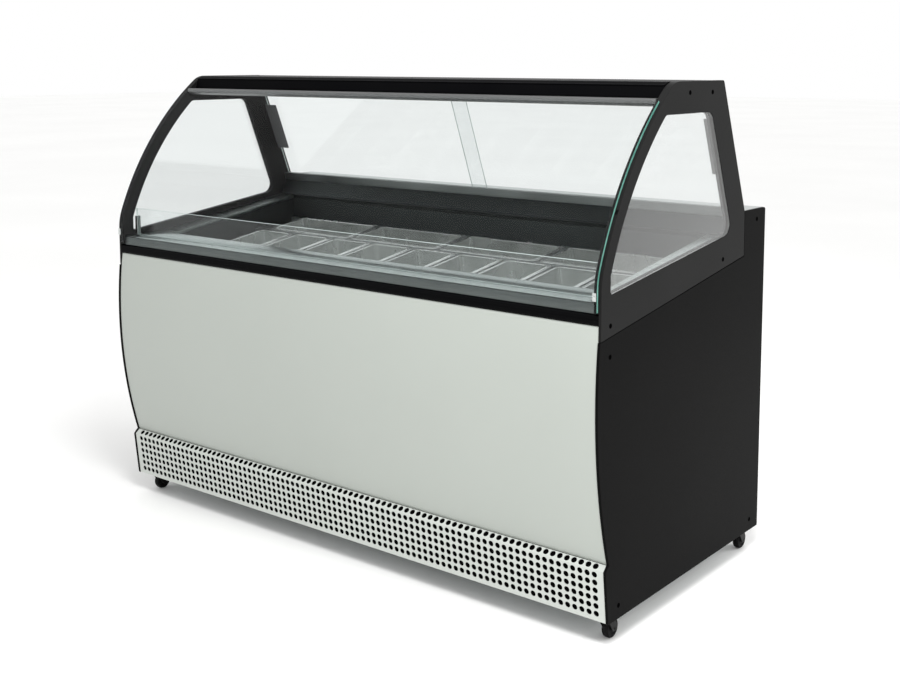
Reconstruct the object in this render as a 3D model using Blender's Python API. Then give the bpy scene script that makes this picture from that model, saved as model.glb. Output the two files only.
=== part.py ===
"""Scooping freezer on castors: an insulated chest with lift-out pans under a curved front glass that
tilts forward, with two sliding doors on the server's side.

Metres, +Z up, front towards -Y.  The origin is on the floor, under the middle of the cabinet."""

from math import acos, asin, atan2, cos, hypot, pi, radians, sin, sqrt

import bmesh
import bpy
from mathutils import Matrix, Vector

# Driving dimensions
LENGTH = 1.745
DEPTH = 0.865
HEIGHT = 1.322
BASE_Z = 0.062             # underside of the cabinet, on its castors
SHELF_Z = 0.9705           # top of the rear worktop
SLOPE = radians(8.4)       # deck, pans and the seam under the end frames all rise to the rear

HALF = LENGTH / 2
FRONT_Y = -DEPTH / 2
REAR_Y = DEPTH / 2
CLEAR = 0.0005             # gap between fitted pieces
RISE = sin(SLOPE) / cos(SLOPE)

SIDE_THICKNESS = 0.007
SIDE_INNER = HALF - SIDE_THICKNESS
FRAME_THICKNESS = 0.020
FRAME_INNER = HALF - FRAME_THICKNESS
SKIN_END = SIDE_INNER - CLEAR          # where sheets between the side panels end
BAY_END = FRAME_INNER - CLEAR          # where pieces between the end frames end

# Bowed front: a flat arc from the kick grille to the bumper rail
BOW_RADIUS = 1.350
BOW_MID_Z = 0.600
BOW_CROWN_Y = FRONT_Y + 0.002
SHEET = 0.002
KICK_TOP_Z = 0.193
KICK_FLANGE_Z = 0.205
PANEL_TOP_Z = 0.7775
RAIL_LOW_Z, RAIL_TOP_Z = 0.7785, 0.8035

# Seam between the side panels and the end frames
SEAM_FRONT_Z = 0.742
SEAM_FRONT_Y = -0.4205
SEAM_REAR_Y = 0.3038
SEAM_GAP = 0.0015

# Outline of the end frames: upright, eased into one large arc, eased into the flat top
UPRIGHT_Y = -0.4225
ARC_CENTRE = Vector((0.4404, 0.5838))
ARC_RADIUS = 0.913
FOOT_RADIUS = 0.150
BROW_RADIUS = 0.070
REAR_TOP_Y = 0.1625
REAR_FOOT_Y, REAR_FOOT_Z = 0.3015, 0.9715

# Window in each end frame, set back from the frame's own edges
WINDOW_ARC_MARGIN, WINDOW_FRONT_MARGIN, WINDOW_REAR_MARGIN = 0.036, 0.040, 0.0888
WINDOW_HEAD_Z, WINDOW_SILL_FRONT_Z, WINDOW_SILL_REAR_Z = 1.243, 0.8445, 0.921
WINDOW_EASE = radians(1.6)             # the arc stops short of the head, for the corner's own radius

GLASS = 0.006
GLASS_FOOT_Z = 0.8095
GLASS_END = 0.8645
GLASS_TOP_ANGLE = radians(49.0)

# Deck and well
DECK_FLAT_Z = 0.8315
DECK_MID = (-0.0225, 0.8671)           # a point of the sloping part
DECK_SHEET = 0.0025
WELL_X = 0.790
WELL_FRONT_Y, WELL_REAR_Y = -0.2830, 0.2490
WELL_FLOOR_Z = 0.500
TANK_FLOOR_Z = 0.430

# Pans, all alike: the front row stands lengthwise, the rear row across
PAN_LENGTH, PAN_WIDTH, PAN_DEPTH = 0.358, 0.164, 0.120
PAN_CORNER = 0.020
PAN_WALL = 0.0015
PAN_FLANGE = 0.010
PAN_TAPER = 0.012
RIM_POINT = (0.0553, 0.8042)           # a point of the plane of the rims
FRONT_PANS, FRONT_PITCH, FRONT_ROW_X, FRONT_ROW_REAR_Y = 9, 0.1697, -0.766, 0.0753
REAR_PANS, REAR_PITCH, REAR_ROW_X, REAR_ROW_FRONT_Y = 4, 0.3635, -0.740, 0.0838

# Sliding doors, in the leaning plane of the end frames' rear edges
DOOR_GLASS = 0.004
DOOR_FOOT_Z, DOOR_HEAD_Z = 0.9665, 1.2735
DOOR_LAP_LEFT, DOOR_LAP_RIGHT = -0.035, 0.032
DOOR_END = 0.836
OUTER_LANE, INNER_LANE = -0.010, -0.022
LANE_HALF = 0.0035

CASTOR_X = 0.838
CASTOR_Y = (-0.3235, 0.3775)
CASTOR_TRAIL = 0.015
WHEEL_RADIUS, WHEEL_WIDTH = 0.025, 0.018
WHEEL_SIDES = 24


# ---------------------------------------------------------------- tools

def clear_scene():
    for old in list(bpy.data.objects):
        bpy.data.objects.remove(old, do_unlink=True)


def finish(name, colour, roughness, metallic=0.0, alpha=1.0):
    """A Principled material with one plain finish."""
    material = bpy.data.materials.new(name)
    material.use_nodes = True
    shader = material.node_tree.nodes["Principled BSDF"]
    shader.inputs["Base Color"].default_value = (*colour, 1.0)
    shader.inputs["Roughness"].default_value = roughness
    shader.inputs["Metallic"].default_value = metallic
    shader.inputs["Alpha"].default_value = alpha
    return material


def place(name, mesh_data, material, origin=(0.0, 0.0, 0.0), smooth=False):
    """Turn a bmesh drawn in world places into an object whose origin is at the given point."""
    bmesh.ops.recalc_face_normals(mesh_data, faces=mesh_data.faces)
    bmesh.ops.translate(mesh_data, verts=mesh_data.verts, vec=-Vector(origin))
    mesh = bpy.data.meshes.new(name)
    mesh_data.to_mesh(mesh)
    mesh_data.free()
    if smooth:
        mesh.shade_smooth()
        mesh.set_sharp_from_angle(angle=radians(35))
    mesh.materials.append(material)
    piece = bpy.data.objects.new(name, mesh)
    piece.location = origin
    bpy.context.scene.collection.objects.link(piece)
    return piece


def prism(outline, way):
    """A planar outline of 3-D points carried straight along a vector."""
    data = bmesh.new()
    face = data.faces.new([data.verts.new(point) for point in outline])
    grown = bmesh.ops.extrude_face_region(data, geom=[face])
    moved = [item for item in grown["geom"] if isinstance(item, bmesh.types.BMVert)]
    bmesh.ops.translate(data, verts=moved, vec=way)
    return data


def across(profile, left=-BAY_END, right=BAY_END):
    """A side-view outline of (y, z) points carried along the cabinet from left to right."""
    return prism([(left, y, z) for y, z in profile], (right - left, 0, 0))


def block(low, high):
    """A box between two corners."""
    (x0, y0, z0), (x1, y1, z1) = low, high
    return prism([(x0, y0, z0), (x1, y0, z0), (x1, y1, z0), (x0, y1, z0)], (0, 0, z1 - z0))


def turned(profile, steps, spot, axis="Z"):
    """A profile of (radius, height) points turned about an axis through a spot.  The first and last
    points lie on the axis."""
    data = bmesh.new()
    rings = []
    for radius, height in profile:
        count = 1 if radius == 0 else steps
        ring = []
        for step in range(count):
            angle = 2 * pi * (step + 0.5) / steps
            ring.append(data.verts.new((radius * cos(angle), radius * sin(angle), height)))
        rings.append(ring)
    for lower, upper in zip(rings, rings[1:]):
        for step in range(steps):
            nxt = (step + 1) % steps
            corners = [lower[step % len(lower)], lower[nxt % len(lower)],
                       upper[nxt % len(upper)], upper[step % len(upper)]]
            unique = list(dict.fromkeys(corners))
            data.faces.new(unique)
    turn = {"X": Matrix.Rotation(pi / 2, 4, "Y"), "Y": Matrix.Rotation(pi / 2, 4, "X"),
            "Z": Matrix.Identity(4)}[axis]
    bmesh.ops.transform(data, verts=data.verts, matrix=Matrix.Translation(spot) @ turn)
    return data


def cut(piece, cutter_data, name):
    """Take a hidden cutter's shape out of a piece."""
    cutter = place(name, cutter_data, piece.data.materials[0])
    cutter.hide_render = True
    cutter.display_type = "WIRE"
    boolean = piece.modifiers.new(name, "BOOLEAN")
    boolean.operation = "DIFFERENCE"
    boolean.solver = "EXACT"
    boolean.object = cutter


def ease(piece, width):
    """Chamfer a piece's sharp edges."""
    bevel = piece.modifiers.new("ease", "BEVEL")
    bevel.width = width
    bevel.segments = 1
    bevel.limit_method = "ANGLE"
    bevel.angle_limit = radians(40)


def arc(centre, radius, start, end, steps):
    """Points on an arc of the side view.  Angles are measured up from the direction of -Y."""
    angles = [start + (end - start) * step / steps for step in range(steps + 1)]
    return [(centre[0] - radius * cos(a), centre[1] + radius * sin(a)) for a in angles]


def rounded(corners, steps=5):
    """A closed outline of (y, z, radius) corners, each rounded with a true arc."""
    points = []
    for index, (y, z, radius) in enumerate(corners):
        here = Vector((y, z))
        if radius == 0:
            points.append((y, z))
            continue
        before = (Vector(corners[index - 1][:2]) - here).normalized()
        after = (Vector(corners[(index + 1) % len(corners)][:2]) - here).normalized()
        half_angle = acos(max(-1.0, min(1.0, before.dot(after)))) / 2
        reach = radius * cos(half_angle) / sin(half_angle)
        middle = here + (before + after).normalized() * (radius / sin(half_angle))
        first = here + before * reach - middle
        last = here + after * reach - middle
        start, end = atan2(first.y, first.x), atan2(last.y, last.x)
        sweep = (end - start + pi) % (2 * pi) - pi
        for step in range(steps + 1):
            angle = start + sweep * step / steps
            points.append((middle.x + radius * cos(angle), middle.y + radius * sin(angle)))
    return points


def folded_sheet(path, thickness):
    """The outline of a sheet folded along a path of (y, z) points, thickened to the path's left, so the
    path is the sheet's right-hand face."""
    left = []
    for index, point in enumerate(path):
        here = Vector(point)
        normals = []
        for one, two in ((index - 1, index), (index, index + 1)):
            if one >= 0 and two < len(path):
                along = (Vector(path[two]) - Vector(path[one])).normalized()
                normals.append(Vector((-along.y, along.x)))
        mean = sum(normals, Vector((0, 0))).normalized()
        left.append(tuple(here + mean * (thickness / mean.dot(normals[0]))))
    return list(path) + left[::-1]


def both_ends(outline, inner, outer):
    """The left and the right plate of a side-view outline."""
    return {"left": across(outline, -outer, -inner), "right": across(outline, inner, outer)}


# ---------------------------------------------------------------- shared curves

def bow_y(z, proud=0.0):
    """Front of the bowed panel at a height."""
    return BOW_CROWN_Y + BOW_RADIUS - sqrt((BOW_RADIUS + proud) ** 2 - (z - BOW_MID_Z) ** 2)


def bow(low, high, proud, steps=10):
    heights = [low + (high - low) * step / steps for step in range(steps + 1)]
    return [(bow_y(z, proud), z) for z in heights]


def kick_y(z):
    """The kick grille leans forward towards its top."""
    return -0.3715 - 0.113 * (z - BASE_Z)


def deck_z(y):
    return DECK_MID[1] + RISE * (y - DECK_MID[0])


def rim_z(y):
    return RIM_POINT[1] + RISE * (y - RIM_POINT[0])


def seam_z(y):
    return SEAM_FRONT_Z + RISE * (y - SEAM_FRONT_Y)


def hood_front(offset, foot_z, top_angle=None):
    """Front edge of the end frames, moved outwards by an offset, from a height up along the large arc.
    With no top angle it carries on round the brow to the flat top."""
    foot_centre_y = UPRIGHT_Y + FOOT_RADIUS
    across_y = ARC_CENTRE.x - foot_centre_y
    foot_centre_z = ARC_CENTRE.y + sqrt((ARC_RADIUS - FOOT_RADIUS) ** 2 - across_y ** 2)
    foot_angle = asin((foot_centre_z - ARC_CENTRE.y) / (ARC_RADIUS - FOOT_RADIUS))
    brow_centre_z = HEIGHT - BROW_RADIUS
    brow_angle = asin((brow_centre_z - ARC_CENTRE.y) / (ARC_RADIUS - BROW_RADIUS))
    brow_centre_y = ARC_CENTRE.x - (ARC_RADIUS - BROW_RADIUS) * cos(brow_angle)
    points = [(UPRIGHT_Y - offset, foot_z)]
    points += arc((foot_centre_y, foot_centre_z), FOOT_RADIUS + offset, 0, foot_angle, 3)
    main_end = brow_angle if top_angle is None else top_angle
    points += arc(ARC_CENTRE, ARC_RADIUS + offset, foot_angle, main_end, 12)[1:]
    if top_angle is None:
        points += arc((brow_centre_y, brow_centre_z), BROW_RADIUS + offset, brow_angle, pi / 2, 5)[1:]
    return points


def lean_y(z, lane=0.0):
    """Rear edge of the end frames at a height, or a plane beside it."""
    run = (REAR_FOOT_Y - REAR_TOP_Y) / (HEIGHT - REAR_FOOT_Z)
    return REAR_FOOT_Y - run * (z - REAR_FOOT_Z) + lane * hypot(1, run)


def lane_strip(lane, half, low, high):
    """A side-view strip along the doors' plane."""
    return [(lean_y(low, lane - half), low), (lean_y(low, lane + half), low),
            (lean_y(high, lane + half), high), (lean_y(high, lane - half), high)]


def window(inset):
    """Outline of the window in an end frame.  Its front follows the hood's arc up to the level head."""
    arc_radius = ARC_RADIUS - WINDOW_ARC_MARGIN - inset
    front_y = UPRIGHT_Y + WINDOW_FRONT_MARGIN + inset
    head_z, sill_front_z = WINDOW_HEAD_Z - inset, WINDOW_SILL_FRONT_Z + inset
    sill_rear_z, rear_lane = WINDOW_SILL_REAR_Z + inset, -WINDOW_REAR_MARGIN - inset
    low = acos((ARC_CENTRE.x - front_y) / arc_radius)
    meeting = asin((head_z - ARC_CENTRE.y) / arc_radius)
    high = meeting - WINDOW_EASE
    corners = [(front_y, sill_front_z, 0.008)]
    corners += [(y, z, 0) for y, z in arc(ARC_CENTRE, arc_radius, low, high, 9)]
    corners += [(ARC_CENTRE.x - arc_radius * cos(meeting), head_z, 0.024),
                (lean_y(head_z, rear_lane), head_z, 0.030),
                (lean_y(sill_rear_z, rear_lane), sill_rear_z, 0.030)]
    return rounded(corners, 5)


# ---------------------------------------------------------------- finishes

clear_scene()
SATIN_GREY = finish("satin_grey_paint", (0.50, 0.52, 0.49), 0.35)
SATIN_BLACK = finish("satin_black_paint", (0.02, 0.02, 0.02), 0.45)
GLOSS_BLACK = finish("gloss_black_extrusion", (0.01, 0.01, 0.01), 0.12)
FRAME_GREY = finish("end_frame_dark_grey", (0.05, 0.05, 0.05), 0.45)
STAINLESS = finish("brushed_stainless", (0.60, 0.62, 0.62), 0.30, 1.0)
PAN_STEEL = finish("pan_stainless", (0.66, 0.67, 0.67), 0.18, 1.0)
DARK_STEEL = finish("shaded_steel", (0.10, 0.11, 0.11), 0.40, 0.4)
CLEAR_GLASS = finish("clear_glass", (0.85, 0.95, 0.92), 0.02, 0.0, 0.20)
LAMP_GREY = finish("lamp_housing_grey", (0.28, 0.28, 0.28), 0.35, 0.6)
TRACK_GREY = finish("track_aluminium", (0.42, 0.43, 0.43), 0.35, 1.0)
GRIP_GREY = finish("grip_grey_plastic", (0.16, 0.16, 0.17), 0.45)
FOAM_SHELL = finish("insulated_shell", (0.70, 0.70, 0.66), 0.60)
GALVANISED = finish("galvanised_tray", (0.45, 0.46, 0.46), 0.45, 0.9)
MACHINE_BLACK = finish("compressor_black", (0.02, 0.02, 0.02), 0.35)
FIN_ALUMINIUM = finish("fin_aluminium", (0.50, 0.50, 0.50), 0.40, 1.0)
BLACK_PLASTIC = finish("black_plastic", (0.02, 0.02, 0.02), 0.50)
WHEEL_RUBBER = finish("wheel_black", (0.03, 0.03, 0.03), 0.55)
FORK_ZINC = finish("castor_fork", (0.05, 0.05, 0.05), 0.40, 0.3)

# ---------------------------------------------------------------- base and machine bay

TRAY_FRONT_Y, TRAY_REAR_Y, TRAY_X = -0.3665, 0.4195, 0.8640
TRAY_TOP_Z, TRAY_SHEET = 0.102, 0.003
TRAY_FLOOR_Z = BASE_Z + TRAY_SHEET
tray = place("base_tray", block((-TRAY_X, TRAY_FRONT_Y, BASE_Z), (TRAY_X, TRAY_REAR_Y, TRAY_TOP_Z)),
             GALVANISED)
cut(tray, block((-TRAY_X + TRAY_SHEET, TRAY_FRONT_Y + TRAY_SHEET, TRAY_FLOOR_Z),
                (TRAY_X - TRAY_SHEET, TRAY_REAR_Y - TRAY_SHEET, TRAY_TOP_Z + 0.01)), "tray_hollow")

COMPRESSOR_SPOT = (0.44, 0.20, TRAY_FLOOR_Z + CLEAR)
place("compressor", turned([(0, 0), (0.098, 0), (0.098, 0.012), (0.088, 0.020), (0.090, 0.070),
                            (0.090, 0.125), (0.084, 0.165), (0.062, 0.192), (0.030, 0.203), (0, 0.206)],
                           20, COMPRESSOR_SPOT), MACHINE_BLACK, smooth=True)

CONDENSER_X, CONDENSER_HALF = 0.12, 0.165
CONDENSER_Y = (-0.335, -0.235)
CONDENSER_Z = (TRAY_FLOOR_Z + CLEAR, 0.375)
FAN_RADIUS = 0.118
FAN_Z = sum(CONDENSER_Z) / 2
condenser = place("condenser", block((CONDENSER_X - CONDENSER_HALF, CONDENSER_Y[0], CONDENSER_Z[0]),
                                     (CONDENSER_X + CONDENSER_HALF, CONDENSER_Y[1], CONDENSER_Z[1])),
                  FIN_ALUMINIUM)
cut(condenser, turned([(0, 0), (FAN_RADIUS + 0.008, 0), (FAN_RADIUS + 0.008, 0.06), (0, 0.06)], 32,
                      (CONDENSER_X, CONDENSER_Y[1] + 0.010, FAN_Z), "Y"), "fan_duct")

BLADES, HUB_RADIUS, FAN_THICK = 5, 0.034, 0.018
FAN_SPOT = (CONDENSER_X, CONDENSER_Y[1] - 0.014, FAN_Z)
fan_outline = []
for blade in range(BLADES):
    for radius, turn in ((HUB_RADIUS, 0.00), (FAN_RADIUS, 0.10), (FAN_RADIUS, 0.36),
                         (FAN_RADIUS, 0.62), (HUB_RADIUS, 0.55), (HUB_RADIUS, 0.78)):
        angle = 2 * pi * (blade + turn) / BLADES
        fan_outline.append((FAN_SPOT[0] + radius * cos(angle), FAN_SPOT[1] - FAN_THICK / 2,
                            FAN_SPOT[2] + radius * sin(angle)))
place("condenser_fan", prism(fan_outline, (0, FAN_THICK, 0)), BLACK_PLASTIC, FAN_SPOT)

# ---------------------------------------------------------------- insulated tank and well

TANK_FRONT_Y, TANK_REAR_Y = -0.3625, 0.3075
SHEET_UNDER = DECK_SHEET + CLEAR
flat_end_y = DECK_MID[0] + (DECK_FLAT_Z - DECK_MID[1]) / RISE
tank_profile = [(TANK_FRONT_Y, TANK_FLOOR_Z), (TANK_REAR_Y, TANK_FLOOR_Z),
                (TANK_REAR_Y, 0.9060), (0.2620, 0.9060), (0.2580, deck_z(0.2580) - SHEET_UNDER),
                (flat_end_y, DECK_FLAT_Z - SHEET_UNDER), (TANK_FRONT_Y, DECK_FLAT_Z - SHEET_UNDER)]
tank = place("insulated_tank", across(tank_profile, -0.851, 0.851), FOAM_SHELL)
LINER_OUT = 0.0028                       # the liner's outer face, outside the opening of the deck
cut(tank, block((-WELL_X - LINER_OUT - CLEAR, WELL_FRONT_Y - LINER_OUT - CLEAR, WELL_FLOOR_Z),
                (WELL_X + LINER_OUT + CLEAR, WELL_REAR_Y + LINER_OUT + CLEAR, 1.0)), "tank_hollow")

liner_front, liner_rear = WELL_FRONT_Y - LINER_OUT, WELL_REAR_Y + LINER_OUT
liner_profile = [(liner_front, WELL_FLOOR_Z + CLEAR), (liner_rear, WELL_FLOOR_Z + CLEAR),
                 (liner_rear, deck_z(liner_rear) - SHEET_UNDER),
                 (flat_end_y, DECK_FLAT_Z - SHEET_UNDER), (liner_front, DECK_FLAT_Z - SHEET_UNDER)]
liner = place("tank_liner", across(liner_profile, -WELL_X - LINER_OUT, WELL_X + LINER_OUT), DARK_STEEL)
cut(liner, block((-WELL_X - 0.0008, WELL_FRONT_Y - 0.0008, WELL_FLOOR_Z + 0.0025),
                 (WELL_X + 0.0008, WELL_REAR_Y + 0.0008, 1.0)), "liner_hollow")

EVAPORATOR_LOW, EVAPORATOR_HIGH = (-0.70, -0.24, 0.512), (0.70, 0.20, 0.560)
evaporator = place("evaporator_plate", block(EVAPORATOR_LOW, EVAPORATOR_HIGH), FIN_ALUMINIUM)
ease(evaporator, 0.008)

DECK_FRONT_Y, DECK_REAR_Y = -0.4155, 0.2600
deck_path = [(DECK_REAR_Y, deck_z(DECK_REAR_Y)), (flat_end_y, DECK_FLAT_Z), (DECK_FRONT_Y, DECK_FLAT_Z)]
deck = place("deck_surround", across(folded_sheet(deck_path, DECK_SHEET)), STAINLESS)
cut(deck, block((-WELL_X, WELL_FRONT_Y, 0.75), (WELL_X, WELL_REAR_Y, 1.0)), "deck_opening")

FASCIA_FRONT_Y, FASCIA_FOOT_Z = -0.4150, 0.8045
FASCIA_THICKNESS = 0.003
fascia = block((-BAY_END, FASCIA_FRONT_Y, FASCIA_FOOT_Z),
               (BAY_END, FASCIA_FRONT_Y + FASCIA_THICKNESS, DECK_FLAT_Z - SHEET_UNDER))
place("deck_fascia", fascia, FRAME_GREY)


# ---------------------------------------------------------------- pans and their rails

def pan_ring(data, inset, height, steps=4):
    """One level of the pan: a rounded rectangle, drawn in from the rim by an inset."""
    radius = max(PAN_CORNER - inset * 0.4, 0.004)
    half_x, half_y = PAN_WIDTH / 2 - inset, PAN_LENGTH / 2 - inset
    ring = []
    for quarter, (side_x, side_y) in enumerate(((1, 1), (-1, 1), (-1, -1), (1, -1))):
        for step in range(steps + 1):
            angle = pi / 2 * (quarter + step / steps)
            ring.append(data.verts.new((side_x * (half_x - radius) + radius * cos(angle),
                                        side_y * (half_y - radius) + radius * sin(angle), height)))
    return ring


def pan_mesh():
    """A pressed pan: flange, tapered walls and floor, one wall thickness throughout.  Its origin is the
    middle of the rim."""
    data = bmesh.new()
    levels = [(PAN_FLANGE + PAN_TAPER, -PAN_DEPTH), (PAN_FLANGE, -PAN_WALL), (0.0, -PAN_WALL), (0.0, 0.0),
              (PAN_FLANGE + PAN_WALL, 0.0), (PAN_FLANGE + PAN_TAPER + PAN_WALL, -PAN_DEPTH + PAN_WALL)]
    rings = [pan_ring(data, inset, height) for inset, height in levels]
    for one, two in zip(rings, rings[1:]):
        for index in range(len(one)):
            nxt = (index + 1) % len(one)
            data.faces.new((one[index], one[nxt], two[nxt], two[index]))
    data.faces.new(rings[0])
    data.faces.new(rings[-1])
    bmesh.ops.recalc_face_normals(data, faces=data.faces)
    mesh = bpy.data.meshes.new("pan")
    data.to_mesh(mesh)
    data.free()
    mesh.materials.append(PAN_STEEL)
    return mesh


PAN_MESH = pan_mesh()


def set_pan(name, x, y, turned_across):
    """A pan laid on the plane of the rims, lengthwise or across."""
    pan = bpy.data.objects.new(name, PAN_MESH)
    spin = Matrix.Rotation(pi / 2, 4, "Z") if turned_across else Matrix.Identity(4)
    pan.matrix_world = Matrix.Translation((x, y, rim_z(y))) @ Matrix.Rotation(SLOPE, 4, "X") @ spin
    bpy.context.scene.collection.objects.link(pan)


front_row_y = FRONT_ROW_REAR_Y - PAN_LENGTH / 2 * cos(SLOPE)
rear_row_y = REAR_ROW_FRONT_Y + PAN_WIDTH / 2 * cos(SLOPE)
for number in range(FRONT_PANS):
    set_pan(f"pan_front_{number + 1}", FRONT_ROW_X + PAN_WIDTH / 2 + number * FRONT_PITCH, front_row_y, False)
for number in range(REAR_PANS):
    set_pan(f"pan_rear_{number + 1}", REAR_ROW_X + PAN_LENGTH / 2 + number * REAR_PITCH, rear_row_y, True)

RAIL_DROP = (PAN_WALL + 0.0004) / cos(SLOPE)
RAIL_HEIGHT = 0.012
UNDER_FLANGE = 0.0085
pan_rails = {"front": (WELL_FRONT_Y + 0.0002, FRONT_ROW_REAR_Y - PAN_LENGTH * cos(SLOPE) + UNDER_FLANGE),
             "middle": (FRONT_ROW_REAR_Y - UNDER_FLANGE, REAR_ROW_FRONT_Y + UNDER_FLANGE),
             "rear": (REAR_ROW_FRONT_Y + PAN_WIDTH * cos(SLOPE) - UNDER_FLANGE, WELL_REAR_Y - 0.0002)}
for where, (near, far) in pan_rails.items():
    profile = [(near, rim_z(near) - RAIL_DROP), (far, rim_z(far) - RAIL_DROP),
               (far, rim_z(far) - RAIL_DROP - RAIL_HEIGHT), (near, rim_z(near) - RAIL_DROP - RAIL_HEIGHT)]
    place(f"pan_rail_{where}", across(profile, -WELL_X, WELL_X), STAINLESS)

# ---------------------------------------------------------------- outer sheets

kick_path = [(kick_y(0.063), 0.063), (kick_y(KICK_TOP_Z), KICK_TOP_Z), (-0.3722, KICK_FLANGE_Z)]
place("kick_grille", across(folded_sheet(kick_path[::-1], SHEET), -SKIN_END, SKIN_END), SATIN_GREY)

front_outline = bow(0.206, PANEL_TOP_Z, 0.0, 14) + bow(0.206, PANEL_TOP_Z, -SHEET, 14)[::-1]
place("front_panel", across(front_outline, -SKIN_END, SKIN_END), SATIN_GREY)

rail_outline = rounded([(bow_y(RAIL_LOW_Z) - 0.003, RAIL_LOW_Z, 0.004), (-0.3660, RAIL_LOW_Z, 0),
                        (-0.3660, RAIL_TOP_Z, 0), (bow_y(RAIL_LOW_Z) - 0.003, RAIL_TOP_Z, 0.006)], 3)
place("front_rail", across(rail_outline, -SKIN_END, SKIN_END), GLOSS_BLACK, smooth=True)

SIDE_PROUD = 0.002
seam_drop = SEAM_GAP / 2
side_top_y = bow_y(SEAM_FRONT_Z, SIDE_PROUD)
side_outline = [(kick_y(BASE_Z) - SIDE_PROUD, BASE_Z), (kick_y(KICK_TOP_Z) - SIDE_PROUD, KICK_TOP_Z)]
side_outline += bow(0.207, seam_z(side_top_y) - seam_drop, SIDE_PROUD, 12)
side_corners = [(y, z, 0) for y, z in side_outline]
side_corners += [(SEAM_REAR_Y + seam_drop, seam_z(SEAM_REAR_Y + seam_drop) - seam_drop, 0),
                 (SEAM_REAR_Y + seam_drop, SHELF_Z, 0.002), (REAR_Y, SHELF_Z, 0.008), (REAR_Y, BASE_Z, 0)]
side_outline = rounded(side_corners, 3)
for side, data in both_ends(side_outline, SIDE_INNER, HALF).items():
    place(f"side_panel_{side}", data, SATIN_BLACK)

REAR_SHEET_Y = 0.4205
REAR_SHEET_Z = (0.0635, 0.9440)
place("rear_panel", block((-SKIN_END, REAR_SHEET_Y, REAR_SHEET_Z[0]),
                          (SKIN_END, REAR_SHEET_Y + SHEET, REAR_SHEET_Z[1])), SATIN_BLACK)

shelf_path = [(0.4305, 0.9450), (0.4305, SHELF_Z), (0.3045, SHELF_Z), (0.3045, 0.9400)]
place("rear_shelf", across(folded_sheet(shelf_path, SHEET), -SKIN_END, SKIN_END), STAINLESS)

splash_path = [(0.3035, 0.9555), (0.2760, 0.9555), (0.2510, 0.9090)]
place("rear_splash_plate", across(folded_sheet(splash_path, SHEET)), DARK_STEEL)

# ---------------------------------------------------------------- end frames, glass and hood

frame_corners = [(y, z, 0) for y, z in hood_front(0.0, seam_z(UPRIGHT_Y) + seam_drop)]
frame_corners += [(REAR_TOP_Y, HEIGHT, 0.008), (REAR_FOOT_Y, REAR_FOOT_Z, 0),
                  (SEAM_REAR_Y - seam_drop, REAR_FOOT_Z, 0),
                  (SEAM_REAR_Y - seam_drop, seam_z(SEAM_REAR_Y - seam_drop) + seam_drop, 0)]
frame_outline = rounded(frame_corners, 4)
SIDE_PANE_INNER, SIDE_PANE = 0.8665, 0.005
THINNED_BELOW_Z = 0.8065               # below this the end frames are as thin as the side panels
for side, sign in (("left", -1), ("right", 1)):
    ends = sorted((sign * FRAME_INNER, sign * HALF))
    frame = place(f"end_frame_{side}", across(frame_outline, *ends), FRAME_GREY)
    hole = sorted((sign * (FRAME_INNER - 0.01), sign * (HALF + 0.01)))
    cut(frame, across(window(0.0), *hole), f"window_{side}")
    thin = sorted((sign * (FRAME_INNER - 0.01), sign * SIDE_INNER))
    cut(frame, block((thin[0], -0.5, 0.6), (thin[1], 0.5, THINNED_BELOW_Z)), f"thinning_{side}")
    pane = sorted((sign * SIDE_PANE_INNER, sign * (SIDE_PANE_INNER + SIDE_PANE)))
    place(f"side_glass_{side}", across(window(CLEAR), *pane), CLEAR_GLASS)

inner_face = hood_front(CLEAR, GLASS_FOOT_Z, GLASS_TOP_ANGLE)
outer_face = hood_front(CLEAR + GLASS, GLASS_FOOT_Z, GLASS_TOP_ANGLE)
GLASS_PIVOT = (0.0, UPRIGHT_Y - CLEAR, GLASS_FOOT_Z)
place("front_glass", across(outer_face + inner_face[::-1], -GLASS_END, GLASS_END), CLEAR_GLASS, GLASS_PIVOT)

CLIP_Z = (0.836, 0.8555)
clip_y = UPRIGHT_Y - CLEAR - GLASS - 0.0003
for side, sign in (("left", -1), ("right", 1)):
    near, far = sorted((sign * (GLASS_END - 0.0105), sign * (GLASS_END - 0.0005)))
    place(f"glass_clip_{side}", block((near, clip_y - 0.0028, CLIP_Z[0]), (far, clip_y, CLIP_Z[1])),
          STAINLESS, GLASS_PIVOT)

canopy_corners = [(-0.1225, 1.2825, 0.002), (-0.1125, 1.3130, 0.002), (-0.0980, HEIGHT - 0.0005, 0.020),
                  (lean_y(HEIGHT - 0.0005, -0.001), HEIGHT - 0.0005, 0.006),
                  (lean_y(1.2825, -0.001), 1.2825, 0)]
place("canopy", across(rounded(canopy_corners[::-1], 4)), GLOSS_BLACK, smooth=True)

place("lamp_housing", across(rounded([(-0.1565, 1.2695, 0.002), (-0.1565, 1.2820, 0.004),
                                      (-0.0100, 1.2820, 0), (-0.0100, 1.2620, 0), (-0.1300, 1.2620, 0.003)],
                                     2)), LAMP_GREY)

# the low pane that keeps the cold air over the pans
DEFLECTOR_LOW, DEFLECTOR_HIGH = (-0.850, -0.3725, DECK_FLAT_Z + 0.001), (0.850, -0.3675, 0.914)
place("deflector_glass", block(DEFLECTOR_LOW, DEFLECTOR_HIGH), CLEAR_GLASS)

# ---------------------------------------------------------------- sliding rear doors

TRACK_NEAR, TRACK_FAR = INNER_LANE - 0.0065, OUTER_LANE + 0.0065


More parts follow.
